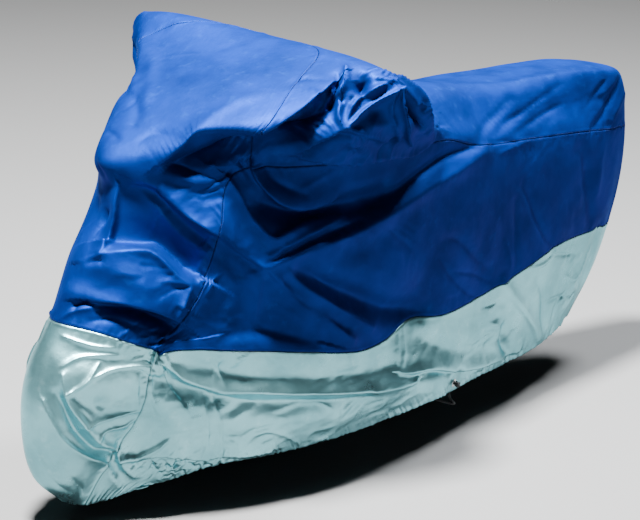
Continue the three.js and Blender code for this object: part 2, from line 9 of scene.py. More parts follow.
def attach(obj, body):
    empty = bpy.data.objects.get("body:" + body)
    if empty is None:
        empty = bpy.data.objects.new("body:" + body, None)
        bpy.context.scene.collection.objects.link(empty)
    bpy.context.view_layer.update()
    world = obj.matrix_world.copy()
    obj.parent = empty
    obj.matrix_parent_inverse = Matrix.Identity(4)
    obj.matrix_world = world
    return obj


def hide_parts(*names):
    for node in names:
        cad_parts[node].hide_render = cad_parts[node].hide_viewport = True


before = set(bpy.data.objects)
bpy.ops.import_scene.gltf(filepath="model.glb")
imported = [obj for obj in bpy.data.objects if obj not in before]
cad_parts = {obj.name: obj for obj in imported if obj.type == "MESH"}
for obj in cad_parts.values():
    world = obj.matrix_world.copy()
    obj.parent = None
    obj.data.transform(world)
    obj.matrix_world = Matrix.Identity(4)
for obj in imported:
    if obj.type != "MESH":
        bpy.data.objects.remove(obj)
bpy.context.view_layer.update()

REST_HEIGHT = 1.054
GROUND = np.array([0, 0, REST_HEIGHT])

# Camera
CAMERA_PLACE = Vector((4.108, 4.210, 1.122))
CAMERA_AZIMUTH = math.radians(135.69)
CAMERA_ELEVATION = math.radians(15.77)
CAMERA_ROLL = math.radians(1.10)
CAMERA_LENS = 128.7
CAMERA_SENSOR = 36


def add_camera():
    level = math.cos(CAMERA_ELEVATION)
    back = Vector((
        math.sin(CAMERA_AZIMUTH) * level,
        -math.cos(CAMERA_AZIMUTH) * level,
        math.sin(CAMERA_ELEVATION),
    ))
    right = Vector((0, 0, 1)).cross(back).normalized()
    up = back.cross(right)
    turn = Matrix.Rotation(CAMERA_ROLL, 3, back)
    pose = Matrix((turn @ right, turn @ up, back)).transposed().to_4x4()
    pose.translation = CAMERA_PLACE
    camera = bpy.data.objects.new("camera", bpy.data.cameras.new("camera"))
    camera.data.lens = CAMERA_LENS
    camera.data.sensor_width = CAMERA_SENSOR
    camera.matrix_world = pose
    bpy.context.collection.objects.link(camera)
    bpy.context.scene.camera = camera


add_camera()

# Cross-sections of the draped cloth, from the front hem over the top to the rear hem.
# Crest is the line along the middle, brow the edge of the top, seam the seam between top or front and side,
# on the left. Bag says how far the cloth bags out between the two.
# At, crest (x, z), brow (x, y, z), bag, seam (x, y, z)
UPPER = [
    ("front hem", (872, 55), (856, 22, 50), 0, (828, 38, 45)),
    ("front low", (950, 135), (920, 58, 138), 4, (778, 86, 185)),
    ("front bulge", (975, 290), (935, 76, 290), 8, (742, 142, 285)),
    ("front shoulder", (952, 405), (900, 92, 395), 10, (730, 166, 380)),
    ("front belt", (882, 520), (825, 100, 503), 8, (718, 172, 455)),
    ("front rise", (808, 662), (758, 110, 640), 6, (655, 203, 530)),
    ("throat", (742, 775), (690, 118, 745), 4, (600, 222, 618)),
    ("chin", (725, 835), (655, 122, 815), 4, (562, 226, 730)),
    ("nose", (745, 895), (645, 130, 890), 4, (530, 226, 862)),
    ("front step", (655, 965), (575, 205, 945), 4, (480, 252, 892)),
    ("bag front", (470, 1060), (500, 296, 1002), 6, (400, 284, 884)),
    ("bag rise", (320, 1115), (310, 325, 1070), 70, (270, 304, 874)),
    ("bag ridge", (195, 1142), (165, 405, 1088), 62, (110, 308, 868)),
    ("bag back", (60, 1085), (10, 365, 1015), 55, (-30, 298, 868)),
    ("dip", (-120, 1005), (-115, 240, 968), 10, (-190, 266, 862)),
    ("back", (-330, 962), (-330, 130, 958), 6, (-370, 237, 817)),
    ("back rear", (-600, 940), (-600, 115, 925), 4, (-620, 192, 790)),
    ("tail front", (-850, 942), (-850, 105, 920), 4, (-870, 160, 768)),
    ("tail", (-1040, 930), (-1020, 100, 912), 4, (-1010, 138, 752)),
    ("tail top", (-1195, 882), (-1130, 92, 885), 6, (-1075, 123, 744)),
    ("tail end", (-1245, 738), (-1195, 62, 738), 8, (-1125, 108, 737)),
    ("rear", (-1238, 590), (-1210, 45, 588), 6, (-1150, 84, 582)),
    ("rear belt", (-1190, 430), (-1175, 34, 430), 5, (-1140, 60, 432)),
    ("rear low", (-1125, 300), (-1115, 28, 298), 3, (-1090, 48, 290)),
    ("rear hem", (-1040, 172), (-1036, 12, 172), 1, (-1028, 22, 170)),
]
# At, waist, belt (x, y, z), low, hem (x, y, z)
LOWER = [
    ("front hem", 0, (770, 56, 50), 2, (700, 100, 80)),
    ("front low", 2, (720, 114, 142), 4, (650, 120, 84)),
    ("front bulge", 2, (680, 162, 215), 4, (600, 145, 98)),
    ("front shoulder", 2, (650, 198, 290), 10, (545, 178, 116)),
    ("front belt", 0, (710, 181, 443), 24, (480, 200, 120)),
    ("front rise", 0, (632, 226, 452), 20, (420, 215, 120)),
    ("throat", 2, (560, 246, 440), 26, (350, 230, 120)),
    ("chin", 4, (490, 262, 428), 30, (280, 240, 120)),
    ("nose", 8, (420, 278, 416), 32, (205, 249, 122)),
    ("front step", 14, (350, 290, 402), 30, (125, 252, 124)),
    ("bag front", 12, (280, 294, 388), 26, (50, 252, 126)),
    ("bag rise", 10, (200, 292, 370), 22, (-25, 252, 130)),
    ("bag ridge", 10, (110, 282, 355), 20, (-100, 251, 134)),
    ("bag back", 14, (20, 272, 362), 18, (-175, 248, 138)),
    ("dip", 18, (-80, 258, 390), 16, (-260, 235, 136)),
    ("back", 14, (-230, 246, 374), 14, (-340, 203, 130)),
    ("back rear", 14, (-420, 207, 380), 12, (-470, 165, 126)),
    ("tail front", 6, (-620, 190, 416), 10, (-600, 135, 122)),
    ("tail", 2, (-790, 160, 446), 8, (-710, 118, 126)),
    ("tail top", 6, (-880, 136, 447), 6, (-800, 106, 137)),
    ("tail end", 8, (-950, 120, 445), 6, (-870, 92, 150)),
    ("rear", 8, (-1020, 104, 441), 6, (-920, 78, 158)),
    ("rear belt", 4, (-1065, 86, 438), 6, (-948, 66, 162)),
    ("rear low", 3, (-1035, 66, 272), 4, (-965, 55, 165)),
    ("rear hem", 1, (-1010, 36, 168), 1, (-982, 46, 166)),
]
RIGHT_BROWS = [
    ("front step", (560, -185, 962), 4),
    ("bag front", (455, -250, 1020), 10),
    ("bag rise", (335, -385, 1080), 30),
    ("bag ridge", (270, -405, 1146), 40),
    ("bag back", (130, -385, 1050), 40),
    ("dip", (-115, -230, 950), 10),
    ("back", (-330, -125, 928), 6),
]

# Where brow, bag, waist and low lie between the table's places
BAG_AT = 0.5
WAIST_AT = 0.5
LOW_AT = 0.6

# Lines across a section, counted from the crest: 0 crest, 1 brow, 2 bag, 3 seam, 4 waist, 5 belt,
# 6 low, 7 hem on the left, and the same with a minus sign on the right.
BROW = 1
SEAM = 3
BELT = 5
HEM = 7
SECTION_NAMES = [row[0] for row in UPPER]
LAST = len(UPPER) - 1
FRONT_BELT = SECTION_NAMES.index("front belt")
CROSS_SEAM = SECTION_NAMES.index("front step")
TAIL_END = SECTION_NAMES.index("tail end")
REAR_BELT = SECTION_NAMES.index("rear belt")

# The seam across the front slants back from the seam line over the brow and curves round to the crest.
SLANT_AT_BROW = 1
SLANT_BROW_TO_CREST = 2.3
SLANT_FROM = SECTION_NAMES.index("throat")
SLANT_TO = SECTION_NAMES.index("tail front")


def metres(millimetres):
    return np.array(millimetres) / 1000


def side_points(upper, lower, right_brow=None):
    """The seven places of one section from brow to hem, as on the left side."""
    out = np.array([0, 1, 0])
    brow, bag = metres(upper[2]), metres(upper[3])
    if right_brow:
        brow, bag = metres(right_brow[1]) * (1, -1, 1), metres(right_brow[2])
    seam, belt, hem = metres(upper[4]), metres(lower[2]), metres(lower[4])
    middle = brow + (seam - brow) * BAG_AT + out * bag
    waist = seam + (belt - seam) * WAIST_AT + out * metres(lower[1])
    low = belt + (hem - belt) * LOW_AT + out * metres(lower[3])
    return [brow, middle, seam, waist, belt, low, hem]


def line_places():
    """The places of all lines in all sections, from the right hem over the crest to the left hem."""
    rows = []
    for upper, lower in zip(UPPER, LOWER):
        other = next((row for row in RIGHT_BROWS if row[0] == upper[0]), None)
        left = side_points(upper, lower)
        right = [place * (1, -1, 1) for place in side_points(upper, lower, other)]
        crest = metres([upper[1][0], 0, upper[1][1]])
        rows.append(right[::-1] + [crest] + left)
    return np.array(rows)


def curved(a, b, c, d, share):
    """A point between b and c on the centripetal curve through a, b, c and d."""
    step = lambda p, q: np.maximum(np.linalg.norm(q - p, axis=-1, keepdims=True) ** 0.5, 1e-4)
    before, here, after = step(a, b), step(b, c), step(c, d)
    start = ((b - a) / before - (c - a) / (before + here) + (c - b) / here) * here
    end = ((c - b) / here - (d - b) / (here + after) + (d - c) / after) * here
    bend = -3 * b + 3 * c - 2 * start - end
    return b + share * (start + share * (bend + share * (2 * b - 2 * c + start + end)))


def with_ends(points):
    """The points with one more at each end, as far on as the last step."""
    return np.concatenate([2 * points[:1] - points[1:2], points, 2 * points[-1:] - points[-2:-1]])


def along_curve(points, places):
    """Points of the curve through points, at places counted in points from its start."""
    places = np.atleast_1d(np.asarray(places, float))
    ends = with_ends(np.asarray(points, float))
    first = np.clip(np.floor(places).astype(int), 0, len(points) - 2)
    share = (places - first).reshape((-1,) + (1,) * (ends.ndim - 1))
    return curved(ends[first], ends[first + 1], ends[first + 2], ends[first + 3], share)


LINES = line_places()
CHUNK = 20000


def smooth_points(sections, lines):
    """Points of the smooth surface, without folds, at pairs of a section and a line."""
    sections, lines = np.asarray(sections, float).ravel(), np.asarray(lines, float).ravel()
    found = []
    for start in range(0, len(sections), CHUNK):
        across = along_curve(LINES, np.clip(sections[start:start + CHUNK], 0, LAST))
        ends = with_ends(across.swapaxes(0, 1)).swapaxes(0, 1)
        place = lines[start:start + CHUNK] + HEM
        first = np.clip(np.floor(place).astype(int), 0, 2 * HEM - 1)
        row = np.arange(len(place))
        four = [ends[row, first + k] for k in range(4)]
        found.append(curved(*four, (place - first)[:, None]))
    return np.concatenate(found)


def slanted(rows, lines):
    """The section at which a row of the cloth crosses a line: rows near the cross seam slant with it."""
    off = np.abs(lines)
    to_seam = np.clip((SEAM - off) / (SEAM - BROW), 0, 1)
    to_crest = np.cos(math.pi / 2 * np.minimum(off / BROW, 1))
    shift = SLANT_AT_BROW * to_seam + SLANT_BROW_TO_CREST * to_crest
    end = np.where(rows < CROSS_SEAM, SLANT_FROM, SLANT_TO)
    return rows + shift * np.clip((rows - end) / (CROSS_SEAM - end), 0, 1)


def on_cloth(rows, lines):
    return smooth_points(slanted(np.asarray(rows, float), np.asarray(lines, float)), lines)


FEEL = 0.03


def unit(vectors):
    return vectors / np.maximum(np.linalg.norm(vectors, axis=-1, keepdims=True), 1e-9)


def outward(sections, lines):
    """Outward normals of the smooth surface, felt a small step to each side."""
    back = smooth_points(np.clip(sections + FEEL, 0, LAST), lines)
    back -= smooth_points(np.clip(sections - FEEL, 0, LAST), lines)
    down = smooth_points(sections, np.clip(lines + FEEL, -HEM, HEM))
    down -= smooth_points(sections, np.clip(lines - FEEL, -HEM, HEM))
    return unit(np.cross(down, back))


# Folds. Path is a run of places in sections and lines. Left and right are the breadths at which a fold has
# mostly gone to each side, as it is walked outside. Height is below zero for a trough, crisp says how sharp a
# fold is, and lean how far its top leans to the right, as a share of its height.
# Path, left, right, height, crisp, lean
FRONT_FOLDS = [
    # The lower edge of the bright top, and the hollow under it
    ([(8.2, 0.79), (8.85, 0.71), (9.3, 0.68), (9.95, 1.0)], 50, 14, 26, 0.5, 0.5),
    ([(8.2, 1.05), (8.8, 1.14), (9.3, 1.17), (9.8, 1.42)], 20, 34, -40, 0.2, 0),
    ([(8.4, 0.69), (9, 0.72), (9.65, 0.62), (10.1, 0.6), (10.35, 0.66)], 30, 20, 7, 0.3, 0),
    ([(8.8, 0.29), (9.05, 0.33), (9.05, 0.54), (9.25, 0.58)], 12, 14, -4, 0.4, 0),
    # Creases of the top, and the two lobes of the right bag's front
    ([(10.45, -0.68), (10.45, -0.5), (10.55, -0.38), (10.75, -0.2)], 6, 6, 2.4, 0.9, 0),
    ([(11.1, -0.7), (11.3, -0.62), (11.55, -0.58)], 8, 10, -3.5, 0.8, 0),
    ([(10.95, -0.12), (11.2, -0.08), (11.5, -0.04)], 14, 14, -3, 0.2, 0),
    ([(10.75, -0.67), (10.35, -0.58), (9.9, -0.46), (9.5, -0.21)], 22, 22, 6, 0.3, 0),
    ([(11.1, -0.8), (10.8, -0.73), (10.5, -0.71), (10.25, -0.74), (9.9, -0.73), (9.6, -0.6)],
     45, 12, 12, 0.7, 0.2),
    ([(10.9, -0.95), (10.4, -0.94), (9.95, -0.86)], 20, 40, -38, 0.2, 0),
    ([(9.3, -0.38), (9.45, -0.42)], 8, 8, -5, 0.7, 0),
    ([(9.5, -0.54), (9.45, -0.38), (9.3, -0.17), (9.2, -0.04)], 14, 14, -6, 0.3, 0),
    ([(8.7, -0.42), (8.75, -0.17), (8.7, 0)], 10, 10, -5, 0.6, 0),
    ([(9.1, -0.08), (9.1, 0.04)], 8, 8, -4, 0.6, 0),
    ([(8, -0.21), (7.65, -0.04), (7.35, 0)], 12, 12, -6, 0.5, 0),
    # Small folds that run to the corner under the fold-over
    ([(8.6, 1.92), (8.9, 2), (9.2, 2), (9.5, 1.92)], 12, 20, 8, 0.5, 0),
    ([(8.8, 2.04), (9.3, 1.79), (9.7, 1.46)], 8, 8, -6, 0.8, 0),
    ([(9.1, 2.95), (9.65, 2), (9.85, 1.2)], 7, 9, 7, 0.9, 0),
    ([(9.45, 1.83), (9.7, 1.38), (9.9, 1.06)], 6, 7, 5, 0.9, 0),
    ([(9.2, 1.62), (9.4, 1.46), (9.45, 1.71)], 7, 7, -5, 0.8, 0),
    ([(8.95, 2.6), (9.25, 2.2), (9.5, 2.05)], 8, 12, 7, 0.7, 0),
    ([(8.75, 2.8), (9, 2.4), (9.2, 2.25)], 7, 10, -6, 0.8, 0),
    ([(8.15, 0.83), (8.1, 1.17), (8.05, 1.67), (8, 2.2)], 10, 12, -9, 0.8, 0),
    ([(8.4, 1.5), (8.4, 2.1), (8.6, 2.7)], 16, 18, 8, 0.4, 0),
    ([(7.95, 0.9), (7.8, 1.6), (7.8, 2.3)], 20, 22, 7, 0.2, 0),
    ([(7.95, 2.21), (7.9, 2.67), (8.15, 2.88), (8.35, 3)], 7, 7, -7, 0.9, 0),
    ([(7.6, 2.21), (7.75, 2.54), (7.95, 2.79), (8.25, 2.9)], 7, 8, -7, 0.9, 0),
    ([(7.6, 1.1), (7.55, 2), (7.6, 2.9)], 20, 20, -6, 0.2, 0),
    # The long ridge from the nose to the star on the side, over the big hollow
    ([(7.5, 0.6), (7.15, 1.7), (7.05, 2.6), (7.6, 3.55), (8.35, 4)], 45, 20, 14, 0.3, 0.3),
    ([(7.15, 1), (7.05, 1.6), (7.03, 2.3), (7, 2.85), (7.2, 3.3), (7.7, 3.75), (8.35, 4)],
     14, 9, 13, 0.7, 0.5),
    ([(7.2, 0.7), (6.9, 1.3), (6.8, 2), (6.7, 2.6)], 12, 20, -12, 0.3, 0),
    ([(5.52, 0.5), (5.68, 0.9), (5.84, 1.25), (5.91, 1.8), (5.88, 2.3), (5.94, 2.65)], 75, 11, -60, 0.2, 0),
    ([(7.05, 0.62), (6.7, 0.92), (6.52, 1.42), (6.45, 1.96), (6.45, 2.67)], 12, 10, 4, 0.4, 0.2),
    ([(7.15, 0.25), (6.5, 0.25), (5.95, 0.29), (5.6, 0.33), (5.3, 0.42)], 10, 26, 24, 0.6, -0.3),
    ([(6.1, 0.12), (5.9, 0.08), (5.7, 0.04)], 12, 18, -12, 0.4, 0),
    ([(6.5, -0.4), (6.1, -0.42), (5.8, -0.2)], 45, 45, -12, 0.1, 0),
    # The full roll below the hollow, with its sharp upper edge
    ([(5.2, 0.42), (5.35, 0.67), (5.5, 0.92), (5.68, 1.2), (5.75, 1.8), (5.72, 2.3), (5.78, 2.6)],
     10, 30, 20, 0.6, 0.3),
    ([(4.98, 0.25), (5.08, 1.2), (5.18, 2.4)], 58, 30, 22, 0, 0),
    ([(5.1, 0.5), (5.08, 0.4), (5, 0.3)], 10, 10, -9, 0.5, 0),
    ([(5.7, 2.62), (5.52, 2.2), (5.35, 1.85)], 9, 8, 6, 0.8, 0),
    ([(5.72, 2.67), (5.45, 2.33), (5.15, 2.04)], 8, 9, -5, 0.8, 0),
    ([(5.7, 2.67), (5.4, 2.7), (5.05, 2.83)], 8, 10, 7, 0.8, 0),
    ([(5.6, 1.3), (5.5, 1.8), (5.5, 2.3)], 18, 20, -5, 0.2, 0),
    # The lap under the roll and the small facets before the belt
    ([(4.5, 0.55), (4.6, 0.88), (4.7, 1.25), (4.8, 1.67), (4.9, 2.08), (4.95, 2.46), (4.95, 2.85)],
     50, 10, 26, 0.6, 0.8),
    ([(4.42, 0.8), (4.56, 1.42), (4.66, 2.04), (4.7, 2.6)], 14, 20, -36, 0.2, 0),
    ([(4.08, 0.1), (4.22, 0.28), (4.33, 0.55), (4.42, 0.96)], 7, 14, 8, 0.9, 0),
    ([(4.32, 0.3), (4.45, 0.45), (4.5, 0.7)], 8, 10, -8, 0.6, 0),
    ([(4.4, 0.29), (4.15, 0.38)], 6, 6, -3, 0.9, 0),
    ([(4.15, 0.67), (4.28, 1.04), (4.33, 1.67), (4.38, 2)], 10, 12, -6, 0.5, 0),
    ([(4.25, 1.79), (4.45, 1.96)], 6, 7, -4, 0.8, 0),
    ([(4.02, 1.58), (4.2, 1.75), (4.4, 1.88)], 6, 7, 4, 0.8, 0),
    ([(4.05, 2.2), (4.25, 2.45), (4.4, 2.7)], 7, 9, 4, 0.7, 0),
    ([(4.45, -0.2), (4.55, 0.4)], 30, 30, 8, 0.2, 0),
    # The bunch where the front, the side and the belt meet
    ([(4.12, 2.85), (4.35, 2.82), (4.55, 3.12), (4.75, 3.2)], 8, 8, 12, 0.8, 0),
    ([(4.04, 2.75), (4.15, 3.1), (4.35, 3.4)], 7, 9, 11, 0.7, 0),
    ([(4.12, 2.66), (4.28, 2.95), (4.5, 3.05)], 6, 7, -9, 0.8, 0),
    ([(4.3, 3.15), (4.55, 3.35), (4.8, 3.4)], 8, 10, -8, 0.6, 0),
    ([(5.6, 2.71), (5.25, 2.79), (4.95, 2.88)], 8, 8, 6, 0.6, 0),
]
SIDE_FOLDS = [
    # The bright crescent under the corner and the hollow below it
    ([(9.15, 2.85), (9.05, 3.15), (9.35, 3.33), (9.9, 3.42), (10.45, 3.44), (11.1, 3.42)],
     24, 9, 28, 0.5, 0.7),
    ([(9.45, 2.95), (9.5, 3.15), (9.9, 3.26), (10.4, 3.33)], 8, 10, -7, 0.6, 0),
    ([(8.8, 3.46), (10, 3.52), (11, 3.5), (12.4, 3.42)], 30, 34, -42, 0.1, 0),
    # The star on the side: ridges that meet at one point
    ([(8.05, 2.75), (7.95, 3.2), (8.15, 3.5), (8.6, 3.71), (8.9, 3.77), (9.5, 3.71),
      (10.3, 3.62), (11.3, 3.57)],
     8, 20, 12, 0.6, -0.3),
    ([(8.3, 3.3), (8.6, 3.65), (9, 3.78), (10, 3.68), (11.4, 3.55)], 26, 26, 8, 0.2, 0),
    ([(8.6, 3.93), (9.5, 3.82), (10.3, 3.71), (11.2, 3.6)], 7, 7, 8, 0.8, 0.2),
    ([(8.75, 3.97), (9.6, 3.88), (10.6, 3.75), (11.7, 3.64)], 8, 10, -11, 0.6, 0),
    ([(8.45, 4.02), (9.25, 3.96), (10.2, 3.84), (11.2, 3.75)], 7, 12, 8, 0.7, 0),
    ([(8.5, 4.02), (10.1, 3.89), (12, 3.68), (14.2, 3.42), (15.05, 3.05)], 22, 34, 16, 0.3, 0),
    ([(11.5, 3.56), (12.7, 3.47), (13.6, 3.33), (14.4, 3.14), (14.95, 3)], 20, 14, -15, 0.3, 0),
    ([(8.3, 4.06), (8.1, 4.17), (7.85, 4.38), (7.65, 4.6)], 10, 30, 9, 0.5, 0),
    ([(7.05, 3.6), (7.25, 4), (7.4, 4.3), (7.5, 4.6)], 20, 20, -6, 0.2, 0),
    ([(6.65, 3.5), (6.2, 3.29), (5.85, 3.22)], 6, 8, 5, 0.9, 0),
    ([(10.2, 3.3), (10.7, 3.2), (11.2, 3.08)], 10, 10, 3, 0.6, 0),
    # The fan below the star
    ([(8.6, 4.1), (9.2, 4.27), (9.95, 4.44), (10.7, 4.58), (11.6, 4.84)], 16, 16, 15, 0.5, 0.2),
    ([(9.3, 4.1), (10, 4.27), (10.8, 4.42), (11.5, 4.55), (12.4, 4.75)], 18, 16, 16, 0.5, 0.2),
    ([(9.05, 4.2), (9.55, 4.36), (10.3, 4.5), (11.4, 4.7)], 14, 12, -14, 0.4, 0),
    ([(9.8, 4.1), (11.2, 4.32), (12.3, 4.5), (14.4, 4.93)], 30, 34, -34, 0.2, 0),
    ([(6.4, 4.6), (8.2, 4.74), (10, 4.86)], 80, 22, -22, 0, 0),
    ([(11.6, 4.05), (12.6, 4.22), (13.8, 4.5)], 30, 30, 6, 0.1, 0),
    ([(12.7, 3.85), (13.3, 4.05), (13.9, 4.35)], 20, 20, -3, 0.2, 0),
    # Soft drops of the rear
    ([(14.45, 4.08), (14.85, 4.1), (15.4, 4.33), (16, 4.65)], 16, 18, -6, 0.3, 0),
    ([(14.45, 4.29), (14.85, 4.46), (15.35, 4.71), (15.9, 5)], 13, 13, -5, 0.4, 0),
    ([(15, 4.46), (15.6, 4.6), (16.15, 4.84)], 10, 10, -4, 0.5, 0),
    ([(16, 3.79), (16.2, 4.08), (16.4, 4.38), (16.7, 4.8)], 14, 14, -6, 0.3, 0),
    ([(16.05, 3.62), (16.35, 3.83), (16.65, 4.12), (17.25, 4.58), (17.9, 5)], 20, 14, -8, 0.3, 0),
    ([(16.1, 4.29), (16.4, 4.58), (16.6, 4.83)], 9, 9, 3, 0.5, 0),
    ([(17.2, 3.3), (18, 3.75), (18.9, 4.15), (20.3, 4.7)], 26, 30, -12, 0.1, 0),
    ([(18.3, 3.3), (18.9, 3.7), (19.8, 4.2)], 20, 20, 5, 0.2, 0),
]
TOP_FOLDS = [
    ([(15, 0.54), (15.4, 0.8), (16, 0.74), (16.7, 0.8), (18, 0.94), (18.8, 0.86)], 30, 20, 6, 0.3, 0),
    ([(15.1, 0.4), (16, 0.5), (17, 0.3)], 40, 40, -9, 0, 0),
    ([(14.95, 2.8), (15.3, 2.3), (15.55, 2), (15.95, 1.45)], 10, 14, -6, 0.5, 0),
    ([(15.3, 2.78), (15.7, 2.25), (16.1, 1.9), (16.85, 1.25)], 9, 13, -7, 0.6, 0),
    ([(15.7, 2.8), (16.35, 2.17), (16.8, 1.88)], 9, 13, -6, 0.6, 0),
    ([(17.45, 2.9), (18.05, 2.29), (18.75, 1.46), (19, 0.92)], 12, 16, -9, 0.4, 0),
    ([(17.45, 2.08), (17.9, 1.54), (18.3, 1.21)], 10, 12, -5, 0.5, 0),
    ([(18.6, 2.7), (19, 2), (19.4, 1.2)], 14, 14, 5, 0.3, 0),
    ([(15.1, 3.04), (15.45, 2.93), (15.75, 3.05)], 8, 8, -5, 0.7, 0),
    ([(15.35, 3.14), (15.65, 3.08), (15.95, 3.02)], 7, 8, 4, 0.7, 0),
]
BAG_FOLDS = [
    # The fold-over at the cross seam, with its sharp lower edge and the hollow behind it
    ([(9.95, 1.04), (10.3, 1.03), (10.7, 1.02), (11.2, 0.92)], 45, 7, 30, 0.9, 0.9),
    ([(9.95, 1.3), (10.4, 1.38), (10.9, 1.26)], 18, 40, -55, 0.2, 0),
    ([(10.7, 0.75), (10.9, 0.76), (11.1, 0.88)], 7, 6, -4, 0.9, 0),
    ([(10.1, 1.9), (10.6, 1.65)], 40, 30, -16, 0, 0),
    ([(10.25, 1.1), (10.2, 1.4), (10.2, 1.75)], 7, 12, 15, 0.9, 0),
    ([(10.6, 1.04), (10.55, 1.38), (10.45, 1.7)], 7, 8, 16, 0.9, 0),
    ([(10.8, 0.95), (10.75, 1.12), (10.8, 1.3)], 6, 7, 14, 0.9, 0),
    ([(10.92, 0.96), (10.92, 1.08), (10.95, 1.2)], 6, 6, -5, 0.8, 0),
    # Pleats from the top down to the knot of folds
    ([(11.55, 0.79), (11.35, 0.96), (11.15, 1.17), (11.05, 1.38), (10.95, 1.62), (10.95, 1.85)],
     8, 9, 24, 0.9, 0.2),
    ([(11.2, 0.98), (11, 1.17), (10.85, 1.32)], 6, 7, 14, 0.9, 0),
    ([(11.3, 0.85), (11.12, 1.08), (10.95, 1.35)], 8, 8, -22, 0.7, 0),
    ([(11.6, 0.95), (11.5, 1.1), (11.42, 1.3)], 16, 20, -36, 0.5, 0),
    ([(12.15, 0.98), (11.6, 1.22), (11.25, 1.42), (11, 1.76)], 7, 7, 14, 0.6, 0),
    ([(12.2, 1.18), (11.65, 1.47), (11.3, 1.66), (11, 1.88)], 8, 7, 22, 0.7, 0.3),
    # The knot, the ruffles before it and the creases below it
    ([(10.95, 1.88), (10.85, 1.94), (10.7, 2.06), (10.5, 2.23), (10.35, 2.4)], 7, 12, 14, 0.8, -0.2),
    ([(10.95, 1.88), (11.1, 1.96), (11.28, 2.05)], 7, 7, 12, 0.8, 0),
    ([(11, 1.8), (11.18, 1.76)], 6, 6, 8, 0.8, 0),
    ([(11, 1.94), (11.25, 2.12), (11.6, 2.33), (11.98, 2.55)], 6, 9, 10, 0.8, 0),
    ([(10.5, 1.72), (10.55, 2.08)], 6, 6, 8, 0.7, 0),
    ([(10.58, 1.62), (10.66, 2.02)], 6, 6, 9, 0.7, 0),
    ([(10.67, 1.55), (10.73, 1.98)], 6, 6, 7, 0.7, 0),
    ([(10.77, 1.5), (10.82, 1.93)], 6, 6, 9, 0.7, 0),
    ([(10.4, 1.94), (10.45, 2.24)], 6, 6, 9, 0.7, 0),
    ([(10.45, 2.46), (10.7, 2.24), (10.95, 2.1)], 14, 18, -30, 0.3, 0),
    ([(11.1, 2.3), (11.45, 2.6), (11.9, 2.86)], 7, 9, 10, 0.8, 0),
    ([(11.05, 2.12), (11.4, 2.36), (11.8, 2.62)], 8, 8, -12, 0.6, 0),
    ([(11.2, 2.7), (11.22, 2.4)], 7, 7, 9, 0.8, 0),
    ([(11.12, 2.8), (11.38, 2.68)], 7, 7, 6, 0.8, 0),
    ([(12.25, 2.88), (12.2, 2.6), (12.15, 2.36)], 8, 8, 9, 0.8, 0),
    ([(11.9, 2.9), (12.05, 2.6), (12.1, 2.4)], 7, 7, -8, 0.7, 0),
    ([(11.6, 2.92), (11.7, 2.7)], 7, 7, 6, 0.7, 0),
    # The flat facet, its upright folds, the slot behind it and the crumpled rear edge
    ([(11.4, 1.72), (11.65, 1.72), (11.75, 2.15)], 34, 34, -26, 0, 0),
    ([(12, 1.2), (11.86, 1.58), (11.9, 2.04), (12.2, 2.5)], 6, 6, 9, 0.9, 0),
    ([(12.1, 1.22), (12.04, 1.54), (12.1, 1.9), (12.28, 2.25), (12.8, 2.72)], 8, 7, 22, 0.9, 0.2),
    ([(12.25, 1.35), (12.4, 1.67), (12.68, 2.1)], 13, 15, -42, 0.3, 0),
    ([(12.35, 0.9), (12.55, 1), (12.7, 1.21), (12.8, 1.62), (13.02, 2.1), (13.1, 2.4)],
     12, 10, 22, 0.6, -0.2),
    ([(12.9, 1.3), (13.1, 1.8), (13.2, 2.3)], 20, 30, -24, 0.1, 0),
    # Crumples of the top edge
    ([(11.72, 0.88), (11.98, 0.85), (12.18, 0.9), (12.38, 0.93)], 7, 7, 7, 0.8, 0),
    ([(11.75, 1.03), (11.92, 1.1), (12.1, 0.98)], 6, 6, -7, 0.8, 0),
    ([(12, 0.95), (12.25, 1.1)], 6, 6, -6, 0.8, 0),
    ([(11.8, 0.96), (12.02, 1.04), (12.25, 1.02)], 6, 6, 6, 0.8, 0),
    # The sharp lower edge, over the side
    ([(10.4, 2.66), (10.95, 2.82), (11.65, 2.93), (12.35, 2.93), (13.1, 2.98), (13.55, 2.79)],
     26, 10, 20, 0.5, 0.7),
]
RIGHT_BAG_FOLDS = [
    ([(10.4, -1.5), (11.2, -1.9), (12, -2.3)], 48, 40, -18, 0, 0),
    ([(12.7, -1.4), (13, -2), (13, -2.5)], 50, 40, -22, 0, 0),
    ([(11.9, -0.9), (11.6, -1.3), (11.4, -1.8), (11.5, -2.4)], 14, 14, 14, 0.6, 0),
    ([(12.6, -1.1), (12.1, -1.5), (11.6, -1.8)], 12, 12, 12, 0.6, 0),
    ([(11.5, -1.85), (11.1, -2.1), (10.8, -2.5)], 12, 14, 12, 0.6, 0),
    ([(11.6, -1.9), (12, -2.2), (12.6, -2.5)], 12, 14, 10, 0.6, 0),
    ([(12.1, -1.9), (12.5, -1.7), (12.9, -1.6)], 18, 18, -14, 0.3, 0),
    ([(10.8, -2.7), (11.6, -2.92), (12.4, -2.95), (13.3, -2.9)], 10, 26, 12, 0.5, -0.4),
]
